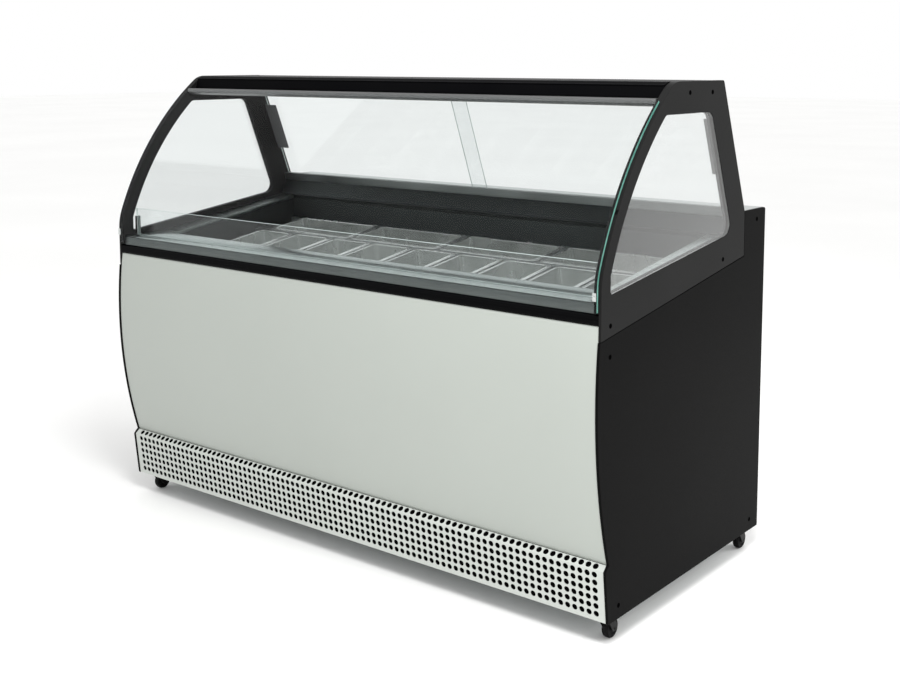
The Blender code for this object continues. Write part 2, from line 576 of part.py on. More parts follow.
def track(base_z, floor_z, rim_height):
    """A two-groove track: solid from its base to the groove floors, walls on to its rim."""
    edges = [TRACK_NEAR, INNER_LANE - LANE_HALF, INNER_LANE + LANE_HALF,
             OUTER_LANE - LANE_HALF, OUTER_LANE + LANE_HALF, TRACK_FAR]
    points = [(lean_y(base_z, edges[0]), base_z)]
    for index in range(0, 6, 2):
        wall_near, wall_far = edges[index], edges[index + 1]
        if index:
            points.append((lean_y(floor_z, wall_near), floor_z))
        points.append((lean_y(rim_height, wall_near), rim_height))
        points.append((lean_y(rim_height, wall_far), rim_height))
        if index < 4:
            points.append((lean_y(floor_z, wall_far), floor_z))
    points.append((lean_y(base_z, edges[5]), base_z))
    return points


place("lower_door_track", across(track(0.9562, 0.9655, 0.9800)), TRACK_GREY)
place("upper_door_track", across(track(1.2820, 1.2765, 1.2560)), TRACK_GREY)

GRIP_Z = (1.070, 1.220)
GRIP_WIDTH, GRIP_THICK, GRIP_SOCKET = 0.046, 0.007, 0.034
for side, lane, ends, sign in (("left", INNER_LANE, (-DOOR_END, DOOR_LAP_RIGHT), -1),
                               ("right", OUTER_LANE, (DOOR_LAP_LEFT, DOOR_END), 1)):
    strip = lane_strip(lane, DOOR_GLASS / 2, DOOR_FOOT_Z, DOOR_HEAD_Z)
    foot_middle = (sum(ends) / 2, strip[0][0], DOOR_FOOT_Z)
    place(f"sliding_door_{side}", across(strip, *ends), CLEAR_GLASS, foot_middle)
    # the grip is a channel over the pane's end, drawn in plan at its lower end and carried up the lean
    pane_end = sign * DOOR_END
    outside, inside = pane_end + sign * (GRIP_WIDTH - GRIP_SOCKET), pane_end - sign * GRIP_SOCKET
    slot_floor = pane_end + sign * CLEAR
    y_mid, slot = lean_y(GRIP_Z[0], lane), DOOR_GLASS / 2 * 1.08 + CLEAR
    channel = [(outside, -GRIP_THICK / 2), (inside, -GRIP_THICK / 2), (inside, -slot), (slot_floor, -slot),
               (slot_floor, slot), (inside, slot), (inside, GRIP_THICK / 2), (outside, GRIP_THICK / 2)]
    climb = GRIP_Z[1] - GRIP_Z[0]
    way = (0, lean_y(GRIP_Z[1]) - lean_y(GRIP_Z[0]), climb)
    place(f"door_grip_{side}", prism([(x, y_mid + y, GRIP_Z[0]) for x, y in channel], way), GRIP_GREY,
          (pane_end, y_mid, GRIP_Z[0]))

# ---------------------------------------------------------------- controls at the rear

PANEL_Y = REAR_SHEET_Y + SHEET + 0.0003
SWITCH_SPOT = (0.70, PANEL_Y + 0.0045, 0.882)
PLATE_LOW, PLATE_HIGH = (0.50, PANEL_Y, 0.842), (0.74, PANEL_Y + 0.004, 0.922)
controls = place("control_panel", block(PLATE_LOW, PLATE_HIGH), BLACK_PLASTIC)
HOLE_HALF_X, HOLE_HALF_Z = 0.0145, 0.0115
hole_low = (SWITCH_SPOT[0] - HOLE_HALF_X, PANEL_Y - 0.01, SWITCH_SPOT[2] - HOLE_HALF_Z)
hole_high = (SWITCH_SPOT[0] + HOLE_HALF_X, PANEL_Y + 0.01, SWITCH_SPOT[2] + HOLE_HALF_Z)
cut(controls, block(hole_low, hole_high), "switch_opening")
rocker_outline = [(-0.0035, -0.0080), (0.0020, -0.0085), (0.0042, 0.0), (0.0020, 0.0085), (-0.0035, 0.0080)]
rest_tilt = radians(-7)
rocker = [(SWITCH_SPOT[0] - 0.013, SWITCH_SPOT[1] + y * cos(rest_tilt) - z * sin(rest_tilt),
           SWITCH_SPOT[2] + y * sin(rest_tilt) + z * cos(rest_tilt)) for y, z in rocker_outline]
place("lamp_switch", prism(rocker, (0.026, 0, 0)), BLACK_PLASTIC, SWITCH_SPOT)

# turned outwards from its nozzle to its flange, which sits on the rear panel
GLAND_SPOT = (-0.70, PANEL_Y + 0.0092, 0.140)
place("cable_gland", turned([(0, 0), (0.0075, 0), (0.009, 0.004), (0.013, 0.005), (0.013, 0.009), (0, 0.009)],
                            16, GLAND_SPOT, "Y"), BLACK_PLASTIC)

# ---------------------------------------------------------------- castors

# The wheel's lowest facet lies flat on the floor.
wheel_corner = WHEEL_RADIUS / cos(pi / WHEEL_SIDES)
wheel_profile = [(0, -0.0105), (0.007, -0.0105), (0.007, -0.0075), (wheel_corner - 0.003, -WHEEL_WIDTH / 2),
                 (wheel_corner, -0.0065), (wheel_corner, 0.0065), (wheel_corner - 0.003, WHEEL_WIDTH / 2),
                 (0.007, 0.0075), (0.007, 0.0105), (0, 0.0105)]
FORK_TOP_Z = BASE_Z - CLEAR
FORK_HALF, CHEEK_GAP = 0.0145, 0.0110
for row, swivel_y in zip(("front", "rear"), CASTOR_Y):
    for side, sign in (("left", -1), ("right", 1)):
        x, wheel_y = sign * CASTOR_X, swivel_y + CASTOR_TRAIL
        fork_outline = [(swivel_y - 0.016, FORK_TOP_Z), (swivel_y + 0.016, FORK_TOP_Z),
                        (wheel_y + 0.009, 0.030), (wheel_y + 0.004, 0.019), (wheel_y - 0.005, 0.019)]
        fork = place(f"castor_fork_{row}_{side}", across(fork_outline, x - FORK_HALF, x + FORK_HALF),
                     FORK_ZINC, (x, swivel_y, FORK_TOP_Z))
        cut(fork, block((x - CHEEK_GAP, swivel_y - 0.05, 0.0), (x + CHEEK_GAP, swivel_y + 0.05, 0.0540)),
            f"fork_slot_{row}_{side}")
        axle = (x, wheel_y, WHEEL_RADIUS)
        wheel = turned(wheel_profile, WHEEL_SIDES, axle, "X")
        place(f"castor_wheel_{row}_{side}", wheel, WHEEL_RUBBER, axle, smooth=True)
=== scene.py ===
"""The looks of the scooping freezer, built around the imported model: punched and bowed sheets, end frames
with glazed windows, the tilting front glass, pressed pans, sliding doors, castors and their finishes.

Metres, +Z up, front towards -Y."""

from math import acos, asin, cos, pi, radians, sin, sqrt, tan

import bmesh
import bpy
import numpy as np
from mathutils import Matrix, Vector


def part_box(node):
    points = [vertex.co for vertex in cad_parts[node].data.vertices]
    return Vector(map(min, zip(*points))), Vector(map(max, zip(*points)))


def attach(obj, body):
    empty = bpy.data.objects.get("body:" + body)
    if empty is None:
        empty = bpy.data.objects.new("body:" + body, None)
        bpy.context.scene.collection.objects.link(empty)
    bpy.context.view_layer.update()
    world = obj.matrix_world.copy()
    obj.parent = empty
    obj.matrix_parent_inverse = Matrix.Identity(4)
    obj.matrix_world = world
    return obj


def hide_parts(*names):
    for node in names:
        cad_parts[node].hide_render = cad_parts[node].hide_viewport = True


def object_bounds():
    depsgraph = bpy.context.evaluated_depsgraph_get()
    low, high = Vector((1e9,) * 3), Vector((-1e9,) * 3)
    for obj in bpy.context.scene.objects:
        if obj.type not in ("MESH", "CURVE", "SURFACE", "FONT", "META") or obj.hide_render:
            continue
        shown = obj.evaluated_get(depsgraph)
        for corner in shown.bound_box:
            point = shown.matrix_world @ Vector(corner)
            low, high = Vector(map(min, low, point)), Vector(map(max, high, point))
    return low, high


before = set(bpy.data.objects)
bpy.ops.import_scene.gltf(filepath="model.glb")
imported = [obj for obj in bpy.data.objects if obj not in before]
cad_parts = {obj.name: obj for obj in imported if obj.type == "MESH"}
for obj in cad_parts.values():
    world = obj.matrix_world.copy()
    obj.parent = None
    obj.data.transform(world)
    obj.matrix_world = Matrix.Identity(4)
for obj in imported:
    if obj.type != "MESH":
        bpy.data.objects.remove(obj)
cad_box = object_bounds()

# ---------------------------------------------------------------- studio
# A white floor that runs out of sight, an even white surround and two large soft lamps: one over the
# front's right end, one behind on the right.  Only their light is wanted, so mirrored rays pass them by.

LENS_MM, RISE_OF_FRAME = 49.57, -0.1606
VIEW_POINT = (2.3059, -2.7666, 1.3740)
VIEW_TILT, VIEW_TURN = radians(90 - 6.139), radians(38.515)

camera_data = bpy.data.cameras.new("camera")
camera_data.lens = LENS_MM
camera_data.shift_y = RISE_OF_FRAME
camera = bpy.data.objects.new("camera", camera_data)
camera.location = VIEW_POINT
camera.rotation_euler = (VIEW_TILT, 0.0, VIEW_TURN)
bpy.context.scene.collection.objects.link(camera)
bpy.context.scene.camera = camera
bpy.context.scene.view_settings.view_transform = "Standard"


def linear(colour):
    """Linear RGBA of an sRGB hex colour: (c / 12.92) in the toe, ((c + 0.055) / 1.055) ** 2.4 above it."""
    parts = [int(colour[i:i + 2], 16) / 255 for i in (0, 2, 4)]
    return (*[c / 12.92 if c <= 0.04045 else ((c + 0.055) / 1.055) ** 2.4 for c in parts], 1.0)


def add(tree, kind, values=None, links=None, **settings):
    """Add one node with its settings, its input values and the sockets that feed it."""
    node = tree.nodes.new(kind)
    for name, value in settings.items():
        setattr(node, name, value)
    for name, value in (values or {}).items():
        node.inputs[name].default_value = value
    for name, source in (links or {}).items():
        tree.links.new(source, node.inputs[name])
    return node


def blank_finish(name, **values):
    """A material with one Principled shader, its even values on the shader's own sockets, and the point
    on the piece in metres that its patterns read."""
    material = bpy.data.materials.new(name)
    material.use_nodes = True
    tree = material.node_tree
    shader = tree.nodes["Principled BSDF"]
    for socket, value in values.items():
        shader.inputs[socket.replace("_", " ")].default_value = value
    return material, tree, shader, add(tree, "ShaderNodeTexCoord").outputs["Object"]


def wandering(tree, place, size, stretch=(1, 1, 1), detail=3.0):
    """A value round 0.5 that wanders over a real size, drawn out by a stretch along each axis."""
    scale = [1 / (size * share) for share in stretch]
    spread = add(tree, "ShaderNodeMapping", {"Scale": scale}, {"Vector": place})
    return add(tree, "ShaderNodeTexNoise", {"Scale": 1.0, "Detail": detail},
               {"Vector": spread.outputs["Vector"]}).outputs["Fac"]


def between(tree, value, one, other, low=0.35, high=0.65):
    """A colour that runs from one hex colour to the other as a value runs from low to high."""
    ramp = add(tree, "ShaderNodeValToRGB", links={"Fac": value})
    for stop, position, colour in zip(ramp.color_ramp.elements, (low, high), (one, other)):
        stop.position = position
        stop.color = linear(colour)
    return ramp.outputs["Color"]


def mottled(name, dark, light, size, **values):
    """A finish whose colour drifts between two near tones over a real size in metres."""
    material, tree, shader, place = blank_finish(name, **values)
    tree.links.new(between(tree, wandering(tree, place, size), dark, light), shader.inputs["Base Color"])
    return material


world = bpy.data.worlds.new("white_surround")
world.use_nodes = True
world.node_tree.nodes["Background"].inputs["Color"].default_value = linear("ffffff")
world.node_tree.nodes["Background"].inputs["Strength"].default_value = 1.0
bpy.context.scene.world = world

FLOOR_REACH = 40.0
floor_mesh = bpy.data.meshes.new("floor")
floor_corners = [(x * FLOOR_REACH, y * FLOOR_REACH, 0) for x, y in ((-1, -1), (1, -1), (1, 1), (-1, 1))]
floor_mesh.from_pydata(floor_corners, [], [(0, 1, 2, 3)])
floor_mesh.materials.append(mottled("matt_white_studio_floor", "fbfbfa", "fefefd", 2.0, Roughness=0.9))
floor = bpy.data.objects.new("floor", floor_mesh)
bpy.context.scene.collection.objects.link(floor)

for name, spot, aim, size, watts in (("lamp_right", (1.5, -1.35, 2.7), (0.6, -0.4, 0.7), 0.9, 56.0),
                                     ("lamp_rear", (3.0, 2.6, 1.9), (0.9, 0.2, 0.9), 1.4, 45.0)):
    lamp_data = bpy.data.lights.new(name, "AREA")
    lamp_data.size = size
    lamp_data.energy = watts
    lamp = bpy.data.objects.new(name, lamp_data)
    lamp.location = spot
    lamp.visible_glossy = False
    lamp.rotation_euler = (Vector(aim) - Vector(spot)).to_track_quat("-Z", "Y").to_euler()
    bpy.context.scene.collection.objects.link(lamp)

# ---------------------------------------------------------------- base tray
# A shallow tray folded from galvanised steel that carries the machine and stands on the castors.
# Zinc freezes in flat spangles, so its grey and gloss change from crystal to crystal.

SPANGLE = 0.014


def spread_roughness(tree, shader, value, low, high):
    """Roughness that runs from low to high with a value."""
    span = add(tree, "ShaderNodeMapRange", {"From Min": 0.3, "From Max": 0.7, "To Min": low, "To Max": high},
               {"Value": value})
    tree.links.new(span.outputs["Result"], shader.inputs["Roughness"])


hot_dip_zinc, tree, shader, place = blank_finish("hot_dip_galvanised_steel", Metallic=0.9)
crystals = add(tree, "ShaderNodeTexVoronoi", {"Scale": 1 / SPANGLE}, {"Vector": place}).outputs["Color"]
tree.links.new(between(tree, crystals, "8f9494", "aab0b0", 0.1, 0.9), shader.inputs["Base Color"])
spread_roughness(tree, shader, crystals, 0.34, 0.56)


def refinish(material, *names):
    """Give CAD nodes a finish and keep their shape."""
    for name in names:
        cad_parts[name].data.materials.clear()
        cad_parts[name].data.materials.append(material)


refinish(hot_dip_zinc, "base_tray")

# ---------------------------------------------------------------- castors
# Twin-cheek swivel castors: a black plated fork pressed from 2.5 mm strip, a ball race on top, a moulded
# polyamide wheel with a soft tread and a bolt through it.

WHEEL_R, WHEEL_HALF, FORK_HALF, CHEEK = 0.025, 0.009, 0.0145, 0.0025
TRAIL, CROWN_HALF = 0.015, 0.0155                 # axle behind the swivel, half length of the fork's crown


def quads(rows, columns, wrap_rows=False, wrap_columns=False):
    """Faces of a grid of points: each joins (i, j), (i, j+1), (i+1, j+1) and (i+1, j)."""
    i = np.arange(rows if wrap_rows else rows - 1)[:, None]
    j = np.arange(columns if wrap_columns else columns - 1)[None]
    next_i, next_j = (i + 1) % rows, (j + 1) % columns
    corners = [i * columns + j, i * columns + next_j, next_i * columns + next_j, next_i * columns + j]
    return np.stack(np.broadcast_arrays(*corners), -1).reshape(-1, 4).tolist()


def turned(profile, steps, spot, axis):
    """A (radius, height) profile turned about an axis through a spot: the point at angle a is
    (r cos a, r sin a, h).  Points of no radius close into a pole."""
    radius, height = np.array(profile, float).T
    angle = 2 * pi * np.arange(steps)[:, None] / steps
    ring = [radius * np.cos(angle), radius * np.sin(angle), np.broadcast_to(height, (steps, len(height)))]
    order = {"X": (2, 0, 1), "Y": (1, 2, 0), "Z": (0, 1, 2)}[axis]
    points = np.stack([ring[k] for k in order], -1).reshape(-1, 3) + spot
    return points, quads(steps, len(radius), wrap_rows=True)


def rounded(corners, steps=6):
    """A closed outline of (y, z, radius) corners, each rounded with a true arc."""
    corners = np.array(corners, float)
    outline = []
    for k, (y, z, radius) in enumerate(corners):
        here = np.array((y, z))
        if radius == 0:
            outline.append(here[None])
            continue
        before, after = (corners[k - 1][:2] - here), (corners[(k + 1) % len(corners)][:2] - here)
        before, after = before / np.hypot(*before), after / np.hypot(*after)
        half = acos(np.clip(before @ after, -1, 1)) / 2
        middle = here + (before + after) / np.hypot(*(before + after)) * radius / sin(half)
        first, last = here + before * radius / tan(half) - middle, here + after * radius / tan(half) - middle
        start, end = np.arctan2(first[1], first[0]), np.arctan2(last[1], last[0])
        angle = start + ((end - start + pi) % (2 * pi) - pi) * np.linspace(0, 1, steps + 1)
        outline.append(middle + radius * np.column_stack([np.cos(angle), np.sin(angle)]))
    return np.concatenate(outline)


def bar_view(low, high, radii, steps=6):
    """Side view of a bar between two (y, z) corners: its low front, low rear, high rear and high front
    corners, each rounded with its own radius."""
    (front, bottom), (rear, top) = low, high
    spots = [(front, bottom), (rear, bottom), (rear, top), (front, top)]
    return rounded([(y, z, radius) for (y, z), radius in zip(spots, radii)], steps)


def carried(outline, left, right):
    """A closed side-view outline of (y, z) points carried along x, with a face over each end."""
    count = len(outline)
    points = np.concatenate([np.column_stack([np.full(count, x), outline]) for x in (left, right)])
    ends = [tuple(range(count)), tuple(range(count, 2 * count))]
    return points, quads(2, count, wrap_columns=True) + ends


def together(*solids):
    """Several solids as one set of points and faces."""
    points, faces, start = [], [], 0
    for solid_points, solid_faces in solids:
        points.append(solid_points)
        faces += [tuple(index + start for index in face) for face in solid_faces]
        start += len(solid_points)
    return np.concatenate(points), faces


def make(name, solid, finish, ease=0.0, segments=2, sharp=35):
    """An object of a solid's points and faces: doubles merged, faces outwards, edges eased by a bevel."""
    points, faces = solid
    mesh = bpy.data.meshes.new(name)
    mesh.from_pydata(np.asarray(points).tolist(), [], faces)
    data = bmesh.new()
    data.from_mesh(mesh)
    bmesh.ops.remove_doubles(data, verts=data.verts, dist=2e-6)
    bmesh.ops.recalc_face_normals(data, faces=data.faces)
    data.to_mesh(mesh)
    data.free()
    mesh.shade_smooth()
    mesh.set_sharp_from_angle(angle=radians(sharp))
    for material in finish if isinstance(finish, list) else [finish]:
        mesh.materials.append(material)
    made = bpy.data.objects.new(name, mesh)
    bpy.context.scene.collection.objects.link(made)
    if ease:
        bevel = made.modifiers.new("eased_edges", "BEVEL")
        bevel.width = ease
        bevel.segments = segments
        bevel.limit_method = "ANGLE"
        bevel.angle_limit = radians(40)
    return made


def fit(made, body, slot, *stands_for):
    """Ride on a body and stand for CAD nodes; the slot is not used."""
    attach(made, body)
    if stands_for:
        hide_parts(*stands_for)


# zinc under black passivate: dark, with a low dull sheen
black_plate, tree, shader, place = blank_finish(
    "black_passivated_steel", Metallic=0.3, Specular_IOR_Level=0.1)
worn = wandering(tree, place, 0.006)
tree.links.new(between(tree, worn, "0c0c0d", "161617"), shader.inputs["Base Color"])
spread_roughness(tree, shader, worn, 0.32, 0.50)


def raised(tree, shader, value, depth, strength=0.5):
    """Relief of a real depth in metres."""
    bump = add(tree, "ShaderNodeBump", {"Strength": strength, "Distance": depth}, {"Height": value})
    tree.links.new(bump.outputs["Normal"], shader.inputs["Normal"])


# soft grey-black tread, scuffed by the floor
tread_rubber, tree, shader, place = blank_finish(
    "thermoplastic_rubber_tread", Roughness=0.62, Specular_IOR_Level=0.1)
scuff = wandering(tree, place, 0.004)
tree.links.new(between(tree, scuff, "080808", "101010"), shader.inputs["Base Color"])
raised(tree, shader, scuff, 0.0002)

half_wheel = [(0, 0.0098), (0.0065, 0.0098), (0.0068, 0.0078), (0.0150, 0.0070), (0.0162, 0.0086),
              (WHEEL_R - 0.0028, WHEEL_HALF), (WHEEL_R - 0.0008, 0.0070), (WHEEL_R, 0.0045)]
wheel_profile = [(radius, -out) for radius, out in half_wheel] + half_wheel[::-1]
for row in ("front", "rear"):
    for side in ("left", "right"):
        wheel_low, wheel_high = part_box(f"castor_wheel_{row}_{side}")
        hub = (wheel_low + wheel_high) / 2
        swivel_y = hub.y - TRAIL
        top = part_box(f"castor_fork_{row}_{side}")[1].z
        wheel = turned(wheel_profile, 48, (hub.x, hub.y, WHEEL_R), "X")
        made = make(f"castor_tyre_{row}_{side}", wheel, tread_rubber)
        fit(made, f"castor_wheel_{row}_{side}", "wheel", f"castor_wheel_{row}_{side}")
        cheek = rounded([
            (swivel_y - CROWN_HALF, top - 0.0065, 0.002), (swivel_y + CROWN_HALF, top - 0.0065, 0.002),
            (hub.y + 0.0095, 0.030, 0.006), (hub.y + 0.0065, 0.0180, 0.005), (hub.y - 0.0070, 0.0180, 0.006)])
        cheeks = [carried(cheek, *sorted((hub.x + way * FORK_HALF, hub.x + way * (FORK_HALF - CHEEK))))
                  for way in (-1, 1)]
        crown_view = bar_view((swivel_y - CROWN_HALF, top - 0.0078), (swivel_y + CROWN_HALF, top - 0.0052),
                              [0.001] * 4, 2)
        crown = carried(crown_view, hub.x - FORK_HALF, hub.x + FORK_HALF)
        race = turned([(0, -0.0052), (0.0135, -0.0052), (0.0142, -0.0040), (0.0142, -0.0022),
                       (0.0120, -0.0014), (0.0120, 0.0), (0, 0.0)], 40, (hub.x, swivel_y, top), "Z")
        bolt = [turned([(0, 0), (0.0048, 0), (0.0048, 0.0016), (0.0030, 0.0024), (0, 0.0024)], 6,
                       (hub.x + FORK_HALF - 0.0024, hub.y, WHEEL_R), "X"),
                turned([(0, 0), (0.0030, 0), (0.0048, 0.0008), (0.0048, 0.0024), (0, 0.0024)], 6,
                       (hub.x - FORK_HALF, hub.y, WHEEL_R), "X")]
        made = make(f"castor_yoke_{row}_{side}", together(*cheeks, crown, race, *bolt), black_plate, 0.0003)
        fit(made, f"castor_fork_{row}_{side}", "fork", f"castor_fork_{row}_{side}")

# ---------------------------------------------------------------- cooling machine
# Behind the kick grille: a hermetic compressor in black enamel, a finned condenser and its moulded fan.

stoved_enamel = mottled("stoved_black_enamel", "0c0c0d", "161617", 0.03, Roughness=0.28, Coat_Weight=0.3)
DOME_Z = 0.125
low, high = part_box("compressor")
shell_r, shell_spot = (high.x - low.x) / 2 - 0.003, ((low.x + high.x) / 2, (low.y + high.y) / 2, low.z)
shell_height = high.z - low.z - 0.002
shell_profile = [(0, 0.0005), (shell_r, 0.0005), (shell_r, 0.010), (shell_r - 0.010, 0.018),
                 (shell_r - 0.009, 0.090), (shell_r - 0.004, 0.094), (shell_r - 0.004, 0.100),
                 (shell_r - 0.009, 0.104)]
shell_profile += [((shell_r - 0.010) * cos(a), DOME_Z + (shell_height - DOME_Z) * sin(a))
                  for a in np.linspace(0, pi / 2, 12)]
made = make("compressor_shell", turned(shell_profile, 48, shell_spot, "Z"), stoved_enamel)
fit(made, "cabinet", "machine_black", "compressor")

# aluminium fins stand 3 mm apart across copper tubes, drawn as fine upright lines: light fin edges, and
# dark bands of painted shade in the gaps between them
FIN_PITCH = 0.003
rolled_fins, tree, shader, place = blank_finish("rolled_aluminium_fins", Metallic=1.0, Roughness=0.38)
fin_lines_and_gap_shade = add(tree, "ShaderNodeTexWave", {"Scale": 1 / (FIN_PITCH * 20)}, {"Vector": place}, bands_direction="X")
tree.links.new(between(tree, fin_lines_and_gap_shade.outputs["Fac"], "2a2b2b", "9a9d9d", 0.2, 0.8), shader.inputs["Base Color"])
raised(tree, shader, fin_lines_and_gap_shade.outputs["Fac"], 0.001)
refinish(rolled_fins, "condenser", "evaporator_plate")

# injection-moulded parts: near black, satin, with a faint grain of spark-eroded tooling
moulded_black, tree, shader, place = blank_finish("moulded_black_polyamide", Roughness=0.45)
grain = wandering(tree, place, 0.0012)
tree.links.new(between(tree, grain, "131314", "1b1b1c"), shader.inputs["Base Color"])
raised(tree, shader, grain, 0.00006)
refinish(moulded_black, "condenser_fan")

# ---------------------------------------------------------------- insulated tank, liner and pan rails
# A foamed shell with a stainless liner let into it.  The liner is dull, and its steel is toned dark: painted
# shade for the shadow it lies in.

refinish(mottled("polystyrene_tank_skin", "c9c9c3", "d6d6d0", 0.05, Roughness=0.6), "insulated_tank")


def brushed(name, dark, light, smooth, rough, grain=(0.045, 0.0012, 0.0012), depth=0.00003, **values):
    """Brushed stainless sheet: a belt has left fine scratches, 45 mm long and a fraction of a millimetre
    apart, drawn here at 1.2 mm so that they show, with a slow drift of tone across the sheet."""
    material, tree, shader, place = blank_finish(name, Metallic=1.0, **values)
    scratches = wandering(tree, place, 1.0, grain, 2.0)
    drift = wandering(tree, place, 0.30)
    both = add(tree, "ShaderNodeMix", {"Factor": 0.35}, {"A": scratches, "B": drift}, data_type="FLOAT")
    tree.links.new(between(tree, both.outputs["Result"], dark, light, 0.4, 0.6), shader.inputs["Base Color"])
    spread_roughness(tree, shader, scratches, smooth, rough)
    raised(tree, shader, scratches, depth, 0.4)
    return material


# painted shade: the liner's steel is toned dark for the shadow in the well; the splash plate and the deck's
# rear strip take it too
liner_steel_painted_shade = brushed("brushed_liner_painted_shade", "3c4040", "474b4b", 0.38, 0.52)
refinish(liner_steel_painted_shade, "tank_liner", "rear_splash_plate")
rail_steel = brushed("brushed_rail_steel", "a4a9a8", "b6bbba", 0.30, 0.42)
refinish(rail_steel, "pan_rail_front", "pan_rail_middle", "pan_rail_rear")

# ---------------------------------------------------------------- deck surround
# One stainless sheet round the well, 1.2 mm thick: level in front, rising to the rear, its edges turned
# down into the well.

DECK_FLAT_Z, DECK_MID_Y, DECK_MID_Z, SLOPE = 0.8315, -0.0225, 0.8671, radians(8.4)
DECK_SHEET, LIP, WELL_EDGE = 0.0012, 0.0105, 0.0028
deck_steel = brushed("brushed_deck_steel", "a9b1b0", "b8c0be", 0.24, 0.34)


def deck_z(y):
    """Top of the deck: level, then rising at the slope."""
    return np.maximum(DECK_FLAT_Z, DECK_MID_Z + tan(SLOPE) * (np.asarray(y) - DECK_MID_Y))


def thicken(made, thickness):
    """Give an open surface its sheet thickness, all of it behind the face."""
    wall = made.modifiers.new("sheet", "SOLIDIFY")
    wall.thickness = thickness
    wall.offset = -1.0


low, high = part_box("deck_surround")
well_low, well_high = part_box("tank_liner")
fold_y = DECK_MID_Y + (DECK_FLAT_Z - DECK_MID_Z) / tan(SLOPE)
deck_xs = np.array([low.x, well_low.x + WELL_EDGE, well_high.x - WELL_EDGE, high.x])
deck_ys = np.array([low.y, well_low.y + WELL_EDGE, fold_y, well_high.y - WELL_EDGE, high.y])
grid_x, grid_y = np.meshgrid(deck_xs, deck_ys, indexing="ij")
deck_points = np.stack([grid_x, grid_y, deck_z(grid_y)], -1).reshape(-1, 3)
deck_faces = [face for face, (i, j) in zip(quads(4, 5), np.ndindex(3, 4)) if not (i == 1 and j in (1, 2))]
ring = [6, 7, 8, 13, 12, 11]                      # grid points round the well
lip_points = deck_points[ring] - (0, 0, LIP)
lip_faces = [(ring[k], ring[(k + 1) % 6], 20 + (k + 1) % 6, 20 + k) for k in range(6)]
made = make("deck_sheet", (np.concatenate([deck_points, lip_points]), deck_faces + lip_faces),
            [deck_steel, liner_steel_painted_shade])
for face in made.data.polygons:                   # painted shadow: the strip under the splash plate takes the darkened liner steel
    face.material_index = face.center.y > well_high.y - 2 * WELL_EDGE
for face in made.data.polygons:                   # every face of the sheet looks up or into the well
    if face.normal.z < -0.5:
        face.flip()
thicken(made, DECK_SHEET)
fit(made, "cabinet", "stainless", "deck_surround")

# a brushed strip on edge behind the glass, toned darker than the deck
fascia_steel = brushed("brushed_fascia_steel", "5c6160", "686d6c", 0.34, 0.46)
low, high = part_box("deck_fascia")
fascia = carried(bar_view(low.yz, high.yz, [0.0004] * 4, 2), low.x, high.x)
made = make("deck_front_fascia", fascia, fascia_steel)
fit(made, "cabinet", "frame_paint", "deck_fascia")

# ---------------------------------------------------------------- pans
# Thirteen pans pressed from 1 mm stainless: a flat flange, tapered walls, round corners and a coved
# floor.  The front row stands lengthwise, the rear row across, all lying on the slope of the deck.

PAN_LENGTH, PAN_WIDTH, PAN_DEPTH = 0.358, 0.164, 0.120
FLANGE, TAPER, PAN_SHEET, CORNER_R = 0.010, 0.012, 0.0011, 0.020
pressed_pan_steel, tree, shader, place = blank_finish("pressed_pan_stainless", Metallic=0.86)
satin = wandering(tree, place, 0.0016)
drift = wandering(tree, place, 0.09)
both = add(tree, "ShaderNodeMix", {"Factor": 0.5}, {"A": satin, "B": drift}, data_type="FLOAT")
tree.links.new(between(tree, both.outputs["Result"], "d9dcda", "e8eae8"), shader.inputs["Base Color"])
spread_roughness(tree, shader, drift, 0.20, 0.30)


def cornered(half_x, half_y, radius, steps=9):
    """Points round a rectangle with round corners: each corner is a quarter circle about its own centre."""
    quarter = pi / 2 * np.arange(4)[:, None] + np.linspace(0, pi / 2, steps)
    side = np.array([(1, 1), (-1, 1), (-1, -1), (1, -1)])[:, None] * (half_x - radius, half_y - radius)
    return (side + radius * np.stack([np.cos(quarter), np.sin(quarter)], -1)).reshape(-1, 2)


def pan_surface(half_x, half_y):
    """The pan's wall as a loft: a path of (inset from the rim, height) for the inside, the same path moved
    out by the sheet's thickness for the outside, each point drawn round as a cornered rectangle."""
    mouth, cove = np.linspace(0, 1, 5), np.linspace(0, 1, 8)
    flange_r, floor_r = 0.0030, 0.0150
    wall_x = FLANGE + flange_r
    lean = (TAPER - flange_r) / PAN_DEPTH
    inner = [(0.0, -PAN_SHEET / 2), (0.0003, -0.0001), (0.0008, 0.0)]
    inner += [(wall_x - flange_r * cos(a), -flange_r * (1 - sin(a))) for a in pi / 2 * (1 - mouth)]
    foot = wall_x + lean * (PAN_DEPTH - floor_r)
    inner += [(foot + floor_r * (1 - cos(a)), -PAN_DEPTH + PAN_SHEET + floor_r * (1 - sin(a)))
              for a in pi / 2 * cove]
    inner = np.array(inner)
    along = np.gradient(inner, axis=0)
    normal = np.column_stack([along[:, 1], -along[:, 0]]) / np.hypot(*along.T)[:, None]
    outer = inner + normal * PAN_SHEET
    outer[:2] = (0.0, -PAN_SHEET / 2), (0.0003, -PAN_SHEET)
    rings = []
    for inset, height in np.concatenate([inner[::-1], outer[1:]]):
        outline = cornered(half_x - inset, half_y - inset, max(CORNER_R - 0.35 * inset, 0.006))
        rings.append(np.column_stack([outline, np.full(len(outline), height)]))
    count = len(rings[0])
    floors = [tuple(range(count)), tuple(range((len(rings) - 1) * count, len(rings) * count))]
    return np.concatenate(rings), quads(len(rings), count, wrap_columns=True) + floors


